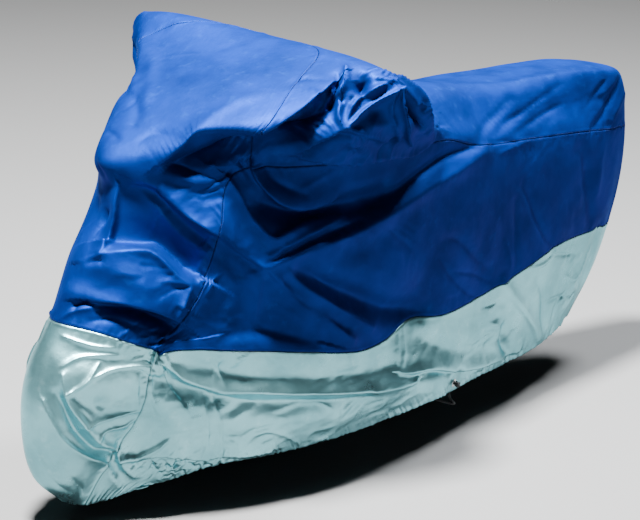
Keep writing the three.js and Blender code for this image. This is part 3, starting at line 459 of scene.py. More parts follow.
FRONT_SKIRT_FOLDS = [
    # Slanting ridges over the front end
    ([(2.5, 0.45), (2.1, 0.75), (1.75, 1.1), (1.45, 1.56), (0.75, 2.96), (0.4, 4.9)],
     10, 20, 13, 0.8, -0.3),
    ([(2.7, 0.7), (2.35, 1), (1.85, 1.45), (1.3, 2.2), (0.7, 4)], 12, 12, -14, 0.4, 0),
    ([(3.1, 0.7), (2.7, 0.95), (2.1, 1.5), (1.5, 2.2), (0.95, 3.6), (0.75, 5.2)], 13, 11, 16, 0.7, 0.2),
    ([(2.6, 1.2), (2.3, 2), (2.05, 2.7)], 30, 30, -12, 0.1, 0),
    ([(3.6, 0.7), (3.5, 1.7), (3.6, 2.8)], 30, 30, -9, 0.1, 0),
    ([(1.6, 0.3), (1, 0.7), (0.5, 1.2)], 12, 12, -4, 0.4, 0),
    ([(1.3, 1.1), (0.7, 1.6), (0.3, 2.1)], 10, 10, -4, 0.4, 0),
    ([(2.8, -1.2), (2.2, -1.9), (1.7, -2.5), (1.2, -3.2)], 16, 16, 9, 0.4, 0),
    ([(2.2, -1.3), (1.8, -1.8), (1.1, -2.6)], 14, 14, -8, 0.3, 0),
]
SKIRT_FOLDS = [
    # The drawn-in band and the folds that lie over it
    ([(0.9, 3.4), (1.3, 4.6), (1.9, 5.4), (2.7, 6.15), (3.9, 6.75), (5.6, 6.88)], 30, 10, 16, 0.6, 0.6),
    ([(1, 3.6), (1.3, 4.3), (1.8, 4.9), (2.1, 5.1)], 7, 8, 8, 0.8, 0),
    ([(1.4, 4.9), (1.25, 5.4), (1.2, 6.1)], 8, 8, -8, 0.7, 0),
    ([(1.9, 5.5), (1.75, 6), (1.8, 6.5)], 8, 8, 8, 0.7, 0),
    ([(2.4, 6), (2.3, 6.4), (2.5, 6.8)], 7, 8, -7, 0.7, 0),
    ([(3, 6.35), (3, 6.7), (3.2, 6.95)], 7, 7, 6, 0.7, 0),
    # Broad steps of the side
    ([(3.5, 3.4), (3.95, 5.05), (5.5, 5.36), (8, 5.44), (10.5, 5.5), (12.3, 5.5)], 30, 34, -15, 0.1, 0),
    ([(3.3, 3.05), (3.7, 4.6), (4.3, 5.46), (6.45, 5.58), (8.7, 5.68), (11, 5.86), (13, 6.02)],
     30, 14, 18, 0.5, 0.3),
    ([(3.2, 3.3), (3.7, 5.3), (4.8, 5.72), (7, 5.84), (9, 5.95), (10.5, 6)], 18, 34, -20, 0.2, 0),
    ([(10.65, 5.46), (12.25, 5.38), (13.4, 5.8), (15.5, 6.26)], 26, 30, -6, 0.2, 0),
    ([(12.75, 5.66), (14.2, 6.02), (15.95, 6.5), (17.6, 6.8)], 26, 11, 18, 0.5, 0.6),
    ([(12.9, 5.86), (14.3, 6.16), (15.8, 6.6)], 10, 20, -11, 0.3, 0),
    ([(14.15, 5.33), (14.65, 5.58), (15.55, 5.92), (17, 6.6)], 26, 26, -9, 0.1, 0),
    ([(16.5, 4.98), (16.9, 5.46), (17.7, 6.08), (18.7, 6.8)], 20, 16, 16, 0.5, 0.3),
    ([(16.7, 5.83), (16.72, 6.12), (17.05, 6.58), (17.5, 6.86)], 18, 18, -18, 0.3, 0),
    ([(17.6, 5.4), (18.3, 5.9), (18.8, 6.5)], 18, 22, -10, 0.2, 0),
    ([(18.1, 6.17), (18.6, 6.54), (19.05, 6.9)], 12, 12, 6, 0.4, 0),
    # Wrinkles of the rear
    ([(18.55, 5.92), (19.45, 5.96), (20.85, 6.21)], 8, 10, -5, 0.7, 0),
    ([(19.5, 5.62), (20.7, 5.79), (21.9, 5.4)], 8, 10, 5, 0.7, 0),
    ([(19.4, 6.5), (19.35, 6.12), (19.95, 6)], 7, 8, -4, 0.8, 0),
    ([(17.15, 5.05), (17.6, 5.17), (18.15, 5.12)], 7, 8, 5, 0.7, 0),
    ([(17.85, 5.12), (19, 5.25), (19.9, 5.3)], 8, 10, -5, 0.7, 0),
    ([(16.1, 5.24), (16.35, 5.3), (16.5, 5.26)], 6, 6, -4, 0.8, 0),
    ([(16.1, 5.54), (16.4, 5.71), (16.55, 5.88)], 7, 7, 4, 0.8, 0),
    # Small creases low on the side
    ([(4.65, 6.67), (5.6, 6.38), (6.4, 6.54), (6.9, 6.9)], 7, 8, 4, 0.8, 0),
    ([(4.65, 6.5), (5.35, 6.33), (6, 6.25)], 7, 7, -4, 0.8, 0),
    ([(8.7, 6.17), (8.45, 5.98), (7.55, 5.92)], 7, 7, 3, 0.8, 0),
    ([(10.25, 6.5), (10.8, 6.5), (11.2, 6.25)], 7, 7, 3, 0.8, 0),
    ([(8.8, 6.42), (9.15, 6.21), (9.85, 6.04)], 7, 7, -3, 0.8, 0),
]
# Creases from packing: breadth and height are the same for all, and only the paths differ.
PACKED_BREADTH = 7
PACKED_HEIGHT = 6
PACKED_CREASES = [
    [(3.25, 0.58), (3.5, 0.83), (3.6, 1.29), (3.65, 1.79)],
    [(2.65, 0.92), (3.05, 1.33), (3.3, 1.75), (3.4, 2.29), (3.45, 3)],
    [(3.45, 1.38), (3.05, 1.29), (2.7, 1)],
    [(3.8, 0.3), (3.75, 0.9), (3.8, 1.6)],
    [(1.9, 1.5), (2, 1.96), (2.05, 2.67), (2.15, 2.92)],
    [(1.6, 2.04), (1.75, 2.17), (1.75, 2.71), (1.9, 2.95)],
    [(3.1, 2.62), (2.6, 2.71), (2.15, 2.9)],
    [(3.3, 3.1), (2.75, 3.2), (2.5, 3.6), (2.45, 4)],
    [(4.4, 5.67), (4, 5.88), (3.35, 6.08), (2.85, 6.17)],
    [(4.65, 5.67), (4.45, 5.88), (4.15, 6.21), (3.6, 6.7)],
    [(5.8, 5.12), (5.25, 5.33), (4.9, 5.5)],
    [(5.5, 5.2), (5.25, 5.52)],
    [(6.95, 5.06), (6.45, 5.14), (5.95, 5.28)],
    [(4.1, 4.46), (4.15, 5.1), (4.2, 5.44)],
    [(13.55, 5.05), (13.3, 5.25), (12.95, 5.5)],
    [(13.75, 5.05), (13.5, 5.32), (13.1, 5.55)],
]

# The right side hangs in the same kind of folds, a little farther back and shallower.
RIGHT_SHIFT = 0.3
RIGHT_DEPTH = 0.8


def in_metres(folds):
    return [(path, left / 1000, right / 1000, height / 1000, crisp, lean)
            for path, left, right, height, crisp, lean in folds]


def on_both_sides(folds):
    mirrored = []
    for path, left, right, height, crisp, lean in folds:
        path = [(min(section + RIGHT_SHIFT, LAST), -line) for section, line in path]
        mirrored.append((path, right, left, height * RIGHT_DEPTH, crisp, -lean))
    return folds + mirrored


PACKED_FOLDS = [(path, PACKED_BREADTH, PACKED_BREADTH, PACKED_HEIGHT, 1, 0) for path in PACKED_CREASES]
FOLDS = in_metres(FRONT_FOLDS + BAG_FOLDS + RIGHT_BAG_FOLDS + FRONT_SKIRT_FOLDS)
FOLDS += on_both_sides(in_metres(SIDE_FOLDS + TOP_FOLDS + SKIRT_FOLDS + PACKED_FOLDS))

# Crumpled patches: at, a place that the creases run toward, how far the patch reaches, how far apart its
# creases are, how many times longer than broad they are, how high, and how sharp
CRUMPLES = [
    ((2, 6), (3, 6.6), 60, 16, 1.3, 5, 0.6),
    ((1.1, 4.8), (1.6, 5.6), 50, 14, 1.3, 4, 0.6),
    ((3.6, 6.8), (3.6, 6.2), 50, 14, 1.5, 4, 0.6),
    ((9.1, 2), (9.8, 1.4), 50, 18, 2.5, 4, 0.5),
    ((12, 1), (12.4, 0.9), 35, 14, 1.5, 6, 0.6),
    ((11.1, 1.3), (10.95, 1.8), 45, 13, 2.4, 5, 0.6),
    ((12.3, 1.7), (12.6, 2.4), 40, 12, 2.4, 4, 0.6),
    ((10.4, 1.7), (10.5, 2.3), 50, 20, 2.2, 6, 0.5),
    ((10.8, 2.6), (11.3, 2.8), 45, 17, 2, 5, 0.6),
    ((12.75, 1.5), (13, 2.1), 35, 12, 2, 6, 0.6),
    ((11.4, 2.5), (11.9, 2.8), 50, 17, 1.8, 6, 0.6),
    ((10.6, 1.8), (10.7, 2.1), 35, 10, 2, 3, 0.5),
    ((13.9, 2.5), (14.6, 2.8), 50, 18, 2, 4, 0.6),
    ((14.4, 1.2), (15, 1.6), 50, 22, 2, 2.5, 0.5),
    ((4.4, 2.5), (4.9, 3.2), 60, 18, 1.6, 4, 0.5),
    ((20.5, 5.9), (21.5, 5.6), 90, 22, 1.8, 3, 0.6),
    ((12, -1.2), (12.4, -1), 60, 20, 1.6, 6, 0.6),
    ((13, -1.9), (13.1, -2.4), 50, 18, 2, 6, 0.6),
    ((11, -2.3), (11.4, -2.6), 60, 20, 1.8, 5, 0.6),
    ((5, 6.3), (7, 6.15), 160, 26, 2.6, 3.4, 0.6),
    ((8.5, 6.3), (11, 6.1), 170, 30, 2.6, 3, 0.6),
    ((12, 6.3), (13.5, 6.2), 140, 28, 2.3, 3, 0.6),
    ((16.3, 6), (17.7, 6.4), 140, 30, 2, 3.6, 0.5),
    ((2.8, 4.6), (3.6, 5.6), 120, 28, 2.6, 3.6, 0.6),
    ((2.4, 1.8), (1.7, 2.5), 110, 30, 2.4, 3.2, 0.6),
    ((9.6, 4.3), (11, 4.6), 170, 34, 2.8, 3.2, 0.5),
    ((13, 4), (14.6, 4.5), 200, 36, 2.5, 2.2, 0.4),
    ((7.6, 3.6), (8.3, 4), 100, 26, 2.3, 3, 0.5),
    ((6.1, 3.9), (7, 4.6), 140, 34, 2.2, 3, 0.5),
    ((7.8, 2.2), (8.2, 2.9), 90, 26, 2.2, 3.6, 0.5),
    ((5.2, 1.8), (5.6, 2.6), 120, 30, 2.2, 3, 0.4),
    ((16.3, 2.2), (16.9, 1.4), 160, 30, 2.4, 2.8, 0.5),
    ((18.4, 1.6), (19, 1), 130, 28, 2.2, 2.6, 0.5),
    # The faint unrest of all the cloth
    ((9, 0), (6, 0.4), 500, 70, 1.8, 1.6, 0.2),
    ((11, 4), (13, 4.8), 550, 80, 2.2, 1.6, 0.2),
    ((17, 4), (18, 5), 450, 70, 2.2, 1.6, 0.2),
    ((17, 1.5), (16.5, 2.5), 400, 60, 2, 1.4, 0.3),
    ((7, 6), (10, 6), 450, 60, 2.2, 1.6, 0.3),
    ((15, 6), (17, 6), 400, 50, 2, 1.6, 0.3),
    ((2, 1), (1, 2), 300, 50, 2, 1.4, 0.3),
    ((11, -4), (13, -4.8), 550, 80, 2.2, 2, 0.2),
    ((17, -4), (18, -5), 500, 70, 2.2, 2, 0.2),
    ((9, -6), (12, -6), 600, 60, 2.2, 2, 0.3),
]

FOLD_SAMPLES = 16
# A fold has no height past this many breadths, and starts and ends this share of a half wave short.
FOLD_REACH = 2.6
FOLD_END = 0.08
# A fold lifts only the cloth within so many sections and lines of its own.
FOLD_SECTIONS = 4
FOLD_LINES = 1.7
POINTED = 1.7
BLUNT = 0.12


def run_of(path, samples=FOLD_SAMPLES):
    """A fold's path as places in sections and lines, points, and outward normals."""
    path = np.array(path, float)
    places = along_curve(path, np.linspace(0, len(path) - 1, samples))
    return places, smooth_points(*places.T), outward(*places.T)


def nearest_on(run, points):
    """For each point: its distance from the run, to the right of it above zero, its share of the run's
    length, the place beside it in sections and lines, and the direction to the right."""
    places, knots, normals = run
    count = len(knots) - 1
    best = np.full(len(points), np.inf)
    share, place = np.zeros(len(points)), np.zeros((len(points), 2))
    right, side = np.zeros((len(points), 3)), np.zeros(len(points))
    for k in range(count):
        step = knots[k + 1] - knots[k]
        off = points - knots[k]
        part = np.clip(off @ step / (step @ step), 0, 1)
        away = off - part[:, None] * step
        distance = np.linalg.norm(away, axis=1)
        nearer = distance < best
        across = unit(np.cross(step, normals[k] + normals[k + 1]))
        best[nearer] = distance[nearer]
        share[nearer] = (k + part[nearer]) / count
        place[nearer] = places[k] + part[nearer, None] * (places[k + 1] - places[k])
        right[nearer] = across
        side[nearer] = np.sign(away[nearer] @ across)
    return best * np.where(side < 0, -1, 1), share, place, right


def fold_shape(offset, left, right, crisp):
    """Height of a fold across its path, from 0 to 1: a soft swell, or a sharp crease as crisp nears 1."""
    away = np.abs(offset) / np.where(offset < 0, left, right)
    soft = np.exp(-away ** 2)
    sharp = np.exp(-POINTED * (np.sqrt(away ** 2 + BLUNT ** 2) - BLUNT))
    return soft + crisp * (sharp - soft)


def fold_shift(points, normals, sections, lines, folds):
    """How far all folds move each point of the smooth surface."""
    shift = np.zeros_like(points)
    for path, left, right, height, crisp, lean in folds:
        run = run_of(path)
        reach = FOLD_REACH * max(left, right)
        low, high = run[1].min(0) - reach, run[1].max(0) + reach
        near = np.flatnonzero(((points > low) & (points < high)).all(1))
        if not len(near):
            continue
        offset, share, place, across = nearest_on(run, points[near])
        close = np.abs(sections[near] - place[:, 0]) < FOLD_SECTIONS
        close &= np.abs(lines[near] - place[:, 1]) < FOLD_LINES
        fade = np.sqrt(np.sin(math.pi * (FOLD_END + (1 - 2 * FOLD_END) * share)))
        lift = height * fade * fold_shape(offset, left, right, crisp) * close
        shift[near] += lift[:, None] * normals[near] + (abs(lift) * lean)[:, None] * across
    return shift


# Large odd numbers that mix up the places of a lattice, with the shifts between them, and the bits kept
LATTICE_ODDS = (73856093, 19349663, 83492791, 2654435761)
LATTICE_MIXES = ((15, 2246822519), (13, 3266489917))
LATTICE_BITS = 0xFFFFFFFF
LATTICE_LAST_SHIFT = 16
LATTICE_TOP = 0xFFFF


def lattice(cells, seed):
    """Repeatable numbers from -1 to 1 at whole places."""
    x, y, z = (place * odd for place, odd in zip(cells.astype(np.int64).T, LATTICE_ODDS))
    mixed = (x ^ y ^ z ^ seed * LATTICE_ODDS[3]) & LATTICE_BITS
    for shift, odd in LATTICE_MIXES:
        mixed = ((mixed ^ (mixed >> shift)) * odd) & LATTICE_BITS
    return ((mixed ^ (mixed >> LATTICE_LAST_SHIFT)) & LATTICE_TOP) / (LATTICE_TOP / 2) - 1


def wander(places, seed):
    """Smooth noise from -1 to 1, which varies over a distance of 1."""
    first = np.floor(places)
    share = places - first
    share = share * share * (3 - 2 * share)
    total = np.zeros(len(places))
    for corner in np.ndindex(2, 2, 2):
        weight = np.prod(np.where(corner, share, 1 - share), axis=1)
        total += weight * lattice(first + corner, seed)
    return total


# The creases drift to and fro, carry finer ones, and have sharp ridges between broad hollows.
DRIFT_SCALE = 0.45
DRIFT_SEED = 100
FINE_SCALE = 2.1
FINE_SHARE = 0.5
FINE_SEED = 50
RIDGE_DEPTH = 2.2


def crumple_lift(points, normals, patches):
    """Height that the patches of fine uneven creases add to the cloth."""
    lift = np.zeros(len(points))
    for seed, (at, toward, reach, pitch, stretch, height, crisp) in enumerate(patches):
        reach, pitch, height = reach / 1000, pitch / 1000, height / 1000
        middle, ahead = smooth_points(*np.array([at, toward], float).T)
        near = np.flatnonzero(np.linalg.norm(points - middle, axis=1) < FOLD_REACH * reach)
        if not len(near):
            continue
        normal = outward(np.array([at[0]], float), np.array([at[1]], float))[0]
        along = unit(ahead - middle)
        across = unit(np.cross(along, normal))
        measures = np.stack([along / (pitch * stretch), across / pitch, normal / (pitch * 2)])
        off = points[near] - middle
        places = off @ measures.T
        places[:, 1] += wander(places * DRIFT_SCALE, seed + DRIFT_SEED)
        wave = wander(places, seed)
        wave += FINE_SHARE * wander(places * FINE_SCALE, seed + FINE_SEED)
        ridged = 1 - RIDGE_DEPTH * np.abs(wave)
        wave = wave + crisp * (ridged - wave)
        facing = np.clip(normals[near] @ normal, 0, 1)
        weight = np.exp(-(np.linalg.norm(off, axis=1) / reach) ** 2) * facing
        lift[near] += height * weight * wave
    return lift


def gathers(distance, along, reach, height, pitch):
    """Small uneven waves of cloth drawn together along a seam or hem. The factors keep them from repeating."""
    turn = 2 * math.pi * along / pitch
    wave = np.sin(turn + 1.5 * np.sin(0.31 * turn)) + 0.6 * np.sin(1.73 * turn + 1.3)
    uneven = 0.65 + 0.35 * np.sin(0.19 * turn + 2) * np.sin(0.083 * turn)
    return height * wave * uneven * np.exp(-(distance / reach) ** 2)


# Seams: a line is followed from one row to another, or a row from one line to another. Puckers are the
# small waves that sewing leaves beside it: how far they reach, how high and how far apart they are.
# Name, fixed ("line" or "row"), at, from, to, pucker reach, pucker height, pucker pitch
SEAMS = [
    ("left top seam", "line", SEAM, FRONT_BELT, TAIL_END, 0.022, 0.0016, 0.032),
    ("right top seam", "line", -SEAM, FRONT_BELT, TAIL_END, 0.022, 0.0016, 0.034),
    ("left front seam", "line", SEAM, 0, FRONT_BELT, 0.016, 0.0010, 0.026),
    ("right front seam", "line", -SEAM, 0, FRONT_BELT, 0.016, 0.0010, 0.027),
    ("left belt", "line", BELT, FRONT_BELT, REAR_BELT, 0.014, 0.0010, 0.030),
    ("right belt", "line", -BELT, FRONT_BELT, REAR_BELT, 0.014, 0.0010, 0.031),
    ("cross seam", "row", CROSS_SEAM, -SEAM, SEAM, 0.024, 0.0022, 0.034),
    ("front belt", "row", FRONT_BELT, -BELT, BELT, 0.018, 0.0014, 0.028),
    ("tail seam", "row", TAIL_END, -SEAM, SEAM, 0.018, 0.0012, 0.027),
    ("rear belt", "row", REAR_BELT, -BELT, BELT, 0.016, 0.0010, 0.026),
    ("rear seam", "line", 0, TAIL_END, REAR_BELT, 0.014, 0.0008, 0.028),
]
SEAM_WINDOW = 0.55
SEAM_BAND = 0.0065
SEAM_RAISE = 0.0011
SEAM_DITCH = 0.0008
SEAM_DITCH_BREADTH = 0.0022
# The seam holds back this share of the puckers on its own band.
SEAM_HOLD = 0.7
HEMS = [
    ("left hem", "line", HEM, 0, LAST, 0.034, 0.0019, 0.023),
    ("right hem", "line", -HEM, 0, LAST, 0.034, 0.0019, 0.024),
    ("front hem", "row", 0, -HEM, HEM, 0.034, 0.0018, 0.021),
    ("rear hem", "row", LAST, -HEM, HEM, 0.034, 0.0018, 0.022),
]
# The hem's edge is rolled round the elastic and turned up inside: how far the grid runs on past the edge
HEM_ROLL = 0.3
HEM_ROWS = (-HEM_ROLL, LAST + HEM_ROLL)
HEM_LINES = HEM + HEM_ROLL
HEM_CELLS = 9
HEM_RADIUS = 0.003
HEM_TURNED = 0.026
SEAM_STEP = 0.04


def run_lengths(points):
    """How far along a run each of its points lies."""
    return np.concatenate([[0], np.cumsum(np.linalg.norm(np.diff(points, axis=0), axis=1))])


def seam_places(fixed, at, start, end):
    """Places along a seam, close together, and how far along it each lies."""
    moving = np.linspace(start, end, int(round((end - start) / SEAM_STEP)) + 1)
    still = np.full(len(moving), float(at))
    rows, lines = (still, moving) if fixed == "row" else (moving, still)
    return moving, run_lengths(on_cloth(rows, lines))


def beside_seam(points, rows, lines, fixed, at, start, end):
    """Which points lie beside a seam, their distance from it, and how far along it they lie."""
    moving, still = (lines, rows) if fixed == "row" else (rows, lines)
    near = np.flatnonzero((np.abs(still - at) < SEAM_WINDOW) & (moving >= start) & (moving <= end))
    if not len(near):
        return near, None, None
    fixed_places = np.full(len(near), float(at))
    foot = (fixed_places, lines[near]) if fixed == "row" else (rows[near], fixed_places)
    distance = np.linalg.norm(points[near] - on_cloth(*foot), axis=1) * np.sign(still[near] - at)
    known, along = seam_places(fixed, at, start, end)
    return near, distance, np.interp(moving[near], known, along)


def seam_lift(points, rows, lines):
    """Height that seams and hems add to the cloth, and the distance of each point from a seam."""
    lift, seam_off = np.zeros(len(points)), np.full(len(points), 1.0)
    for _, fixed, at, start, end, reach, height, pitch in SEAMS:
        near, distance, along = beside_seam(points, rows, lines, fixed, at, start, end)
        if not len(near):
            continue
        off = np.abs(distance)
        band = np.exp(-(off / SEAM_BAND) ** 4)
        ditch = np.exp(-(off / SEAM_DITCH_BREADTH) ** 2)
        lift[near] += SEAM_RAISE * band - (SEAM_RAISE + SEAM_DITCH) * ditch
        lift[near] += gathers(distance, along, reach, height, pitch) * (1 - SEAM_HOLD * band)
        seam_off[near] = np.minimum(seam_off[near], off)
    for _, fixed, at, start, end, reach, height, pitch in HEMS:
        near, distance, along = beside_seam(points, rows, lines, fixed, at, start, end)
        if len(near):
            lift[near] += gathers(distance, along, reach, height, pitch)
    return lift, seam_off


# Eyelets in the skirts, one on each side, on a patch of cloth that the rims hold flat
EYELETS = [("left", 14.8, 6.75), ("right", 14.8, -6.75)]
EYELET_CUT_RADIUS = 0.0085
EYELET_FLAT = 0.03
EYELET_FADE = 0.062
EYELET_FEEL = 0.1


def eyelet_place(section, line):
    """The middle of an eyelet and its outward normal."""
    middle = smooth_points([section], [line])[0]
    along = smooth_points([section + EYELET_FEEL], [line])[0] - middle
    across = smooth_points([section], [line + EYELET_FEEL])[0] - middle
    return middle, unit(np.cross(along, across))


EYELET_PLACES = {name: eyelet_place(section, line) for name, section, line in EYELETS}


def eased(value, low, high):
    share = np.clip((value - low) / (high - low), 0, 1)
    return share * share * (3 - 2 * share)


def hem_roll(past, down, inward):
    """The way from the hem's edge round the roll and up inside, for places past the edge."""
    run = np.abs(past) / HEM_ROLL * HEM_TURNED
    turn = np.minimum(run / HEM_RADIUS, math.pi)
    rise = np.maximum(run - math.pi * HEM_RADIUS, 0)
    along = HEM_RADIUS * np.sin(turn) - rise
    return down * along[:, None] + inward * (HEM_RADIUS * (1 - np.cos(turn)))[:, None]


# A small step in rows or lines
NUDGE = 0.02


def cloth_points(rows, lines):
    """Points of the finished cloth at rows and lines, and how far off a seam they lie."""
    past_rows = rows - np.clip(rows, 0, LAST)
    past_lines = lines - np.clip(lines, -HEM, HEM)
    rows, lines = rows - past_rows, lines - past_lines
    sections = slanted(rows, lines)
    points = smooth_points(sections, lines)
    normals = outward(sections, lines)
    shift = fold_shift(points, normals, sections, lines, FOLDS)
    lift = crumple_lift(points, normals, CRUMPLES)
    seam, seam_off = seam_lift(points, rows, lines)
    moved = points + shift + (lift + seam)[:, None] * normals
    for middle, normal in EYELET_PLACES.values():
        flat = 1 - eased(np.linalg.norm(points - middle, axis=1), EYELET_FLAT, EYELET_FADE)
        moved -= (flat * ((moved - middle) @ normal))[:, None] * normal
    for past, step in ((past_lines, (0, NUDGE)), (past_rows, (NUDGE, 0))):
        out = np.flatnonzero(past)
        if len(out):
            sign = np.sign(past[out])
            inside = smooth_points(rows[out] - sign * step[0], lines[out] - sign * step[1])
            down = unit(smooth_points(rows[out], lines[out]) - inside)
            moved[out] += hem_roll(past[out], down, -normals[out])
    return moved - GROUND, seam_off


# Panels: a grid of rows and lines over these patches. Spans give the size of the grid's cells along it.
# Name, finish, row spans (from, to, cell), line spans, patches of (first row, last row, first line, last line)
PANELS = [
    ("front_panel", "blue_nylon", [(4, 9, 0.0045)], [(-3, -1, 0.011), (-1, 3, 0.0042)], [(4, 9, -3, 3)]),
    ("top_panel", "blue_nylon", [(9, 10, 0.005), (10, 13, 0.0033), (13, 14, 0.006), (14, 20, 0.012)],
     [(-3, 0, 0.0095), (0, 1, 0.006), (1, 3, 0.0035)],
     [(9, 20, -3, 3)]),
    ("side_left", "blue_nylon", [(4, 14, 0.005), (14, 22, 0.0085)], [(0, 3, 0.01), (3, 5, 0.005)],
     [(4, 22, 3, 5), (20, 22, 0, 3)]),
    ("side_right", "blue_nylon", [(4, 22, 0.009)], [(-5, 0, 0.009)], [(4, 22, -5, -3), (20, 22, -3, 0)]),
    ("skirt_front", "silver_nylon", [(HEM_ROWS[0], 4, 0.003)], [(-3, 3, 0.0032)], [(HEM_ROWS[0], 4, -3, 3)]),
    ("skirt_left", "silver_nylon", [(HEM_ROWS[0], 7, 0.0036), (7, 15, 0.0048), (15, HEM_ROWS[1], 0.0075)],
     [(0, 3, 0.01), (3, HEM_LINES, 0.0045)],
     [(4, 22, 5, HEM_LINES), (0, 4, 3, HEM_LINES), (22, 24, 0, HEM_LINES), (HEM_ROWS[0], 0, 3, 7),
      (24, HEM_ROWS[1], 0, 7)]),
    ("skirt_right", "silver_nylon", [(HEM_ROWS[0], HEM_ROWS[1], 0.0088)], [(-HEM_LINES, 0, 0.0075)],
     [(4, 22, -HEM_LINES, -5), (0, 4, -HEM_LINES, -3), (22, 24, -HEM_LINES, 0), (HEM_ROWS[0], 0, -7, -3),
      (24, HEM_ROWS[1], -7, 0)]),
]
CLOTH_THICKNESS = 0.0009

# Seams are followed by closer grid lines, at these distances from them
ROW_SEAMS = (FRONT_BELT, CROSS_SEAM, TAIL_END, REAR_BELT)
LINE_SEAMS = (-BELT, -SEAM, SEAM, BELT)
SEAM_OFFSETS = (0.0014, 0.0036)
# Other grid lines keep this many times the farther distance away.
SEAM_CLEAR = 1.5
SPAN_SAMPLES = 65


def even_places(spans, follow, seams):
    """Places along the spans, about a cell apart, with every whole number among them."""
    places = []
    for start, end, cell in spans:
        whole = range(math.ceil(start), math.floor(end) + 1)
        marks = [start] + [mark for mark in whole if start < mark < end] + [end]
        for low, high in zip(marks[:-1], marks[1:]):
            fine = np.linspace(low, high, SPAN_SAMPLES)
            length = run_lengths(follow(fine))
            if high - low < 1:
                places.append(np.linspace(low, high, HEM_CELLS + 1)[:-1])
                continue
            at = np.linspace(0, length[-1], max(1, int(round(length[-1] / cell))) + 1)[:-1]
            if low in seams:
                at = np.concatenate([at[:1], SEAM_OFFSETS, at[at > SEAM_CLEAR * SEAM_OFFSETS[-1]]])
            if high in seams:
                close = length[-1] - np.array(SEAM_OFFSETS)[::-1]
                at = np.concatenate([at[at < length[-1] - SEAM_CLEAR * SEAM_OFFSETS[-1]], close])
            places.append(np.interp(at, length, fine))
    return np.append(np.concatenate(places), spans[-1][1])


def grid_of(patches, row_spans, line_spans):
    """Rows and lines of a panel's grid. They follow the middle of its first patch."""
    first = patches[0]
    middle_line, middle_row = (first[2] + first[3]) / 2, (first[0] + first[1]) / 2
    rows = even_places(row_spans, lambda at: on_cloth(at, np.full(len(at), middle_line)), ROW_SEAMS)
    lines = even_places(line_spans, lambda at: on_cloth(np.full(len(at), middle_row), at), LINE_SEAMS)
    return rows, lines


def with_eyelet_holes(points, faces):
    """Leaves out the cells in an eyelet and draws the rest back to a ring under its rim."""
    for middle, normal in EYELET_PLACES.values():
        off = points - (middle - GROUND)
        above = off @ normal
        off -= above[:, None] * normal
        off[np.abs(above) > EYELET_FLAT] += 1
        radius = np.linalg.norm(off, axis=1)
        faces = faces[np.linalg.norm(off[faces].mean(axis=1), axis=1) > EYELET_CUT_RADIUS]
        near = np.flatnonzero(radius < EYELET_CUT_RADIUS)
        if len(near):
            share = EYELET_CUT_RADIUS / np.maximum(radius[near], 1e-6) - 1
            points[near] += off[near] * share[:, None]
    return points, faces


def panel_object(name, row_spans, line_spans, patches):
    rows, lines = grid_of(patches, row_spans, line_spans)
    row_grid, line_grid = np.meshgrid(rows, lines, indexing="ij")
    mid_row, mid_line = (rows[1:] + rows[:-1]) / 2, (lines[1:] + lines[:-1]) / 2
    kept = np.zeros((len(mid_row), len(mid_line)), bool)
    for low_row, high_row, low_line, high_line in patches:
        rows_in = (mid_row > low_row) & (mid_row < high_row)
        kept |= np.outer(rows_in, (mid_line > low_line) & (mid_line < high_line))
    columns = len(lines)
    r, c = np.nonzero(kept)
    corner = r * columns + c
    faces = np.stack([corner, corner + 1, corner + columns + 1, corner + columns], 1)
    used, faces = np.unique(faces, return_inverse=True)
    faces = faces.reshape(-1, 4)
    points, seam_off = cloth_points(row_grid.ravel()[used], line_grid.ravel()[used])
    points, faces = with_eyelet_holes(points, faces)

    place = np.full((len(rows) * columns, 3), np.nan)
    place[used] = points
    place = place.reshape(len(rows), columns, 3)
    run = lambda step: np.nan_to_num(np.linalg.norm(step, axis=-1))
    down = np.concatenate([np.zeros((len(rows), 1)), np.cumsum(run(np.diff(place, axis=1)), 1)], 1)
    back = np.concatenate([np.zeros((1, columns)), np.cumsum(run(np.diff(place, axis=0)), 0)], 0)
    weave = np.stack([back.ravel()[used], down.ravel()[used]], 1)

    mesh = bpy.data.meshes.new(name + "_cloth")
    mesh.vertices.add(len(points))
    mesh.vertices.foreach_set("co", points.ravel())
    mesh.loops.add(faces.size)
    mesh.loops.foreach_set("vertex_index", faces.ravel())
    mesh.polygons.add(len(faces))
    mesh.polygons.foreach_set("loop_start", np.arange(len(faces)) * 4)
    mesh.update(calc_edges=True)
    mesh.uv_layers.new(name="weave").data.foreach_set("uv", weave[faces.ravel()].ravel())
    mesh.attributes.new("seam_off", "FLOAT", "POINT").data.foreach_set("value", seam_off)
    mesh.polygons.foreach_set("use_smooth", np.ones(len(faces), bool))
    mesh.validate()
    drop_loose(mesh)
    return new_piece(name + "_cloth", mesh)


def new_piece(name, data):
    """Puts an object with this mesh, light or camera in the scene."""
    piece = bpy.data.objects.new(name, data)
    bpy.context.collection.objects.link(piece)
    return piece


def drop_loose(mesh):
    """Removes vertices that no face uses."""
    shape = bmesh.new()
    shape.from_mesh(mesh)
    loose = [vertex for vertex in shape.verts if not vertex.link_faces]
    bmesh.ops.delete(shape, geom=loose, context="VERTS")
    shape.to_mesh(mesh)
    shape.free()


def select_only(piece):
    bpy.ops.object.select_all(action="DESELECT")
    bpy.context.view_layer.objects.active = piece
    piece.select_set(True)


def apply_modifier(piece, kind, **settings):
    modifier = piece.modifiers.new(kind.lower(), kind)
    for key, value in settings.items():
        setattr(modifier, key, value)
    select_only(piece)
    bpy.ops.object.modifier_apply(modifier=modifier.name)


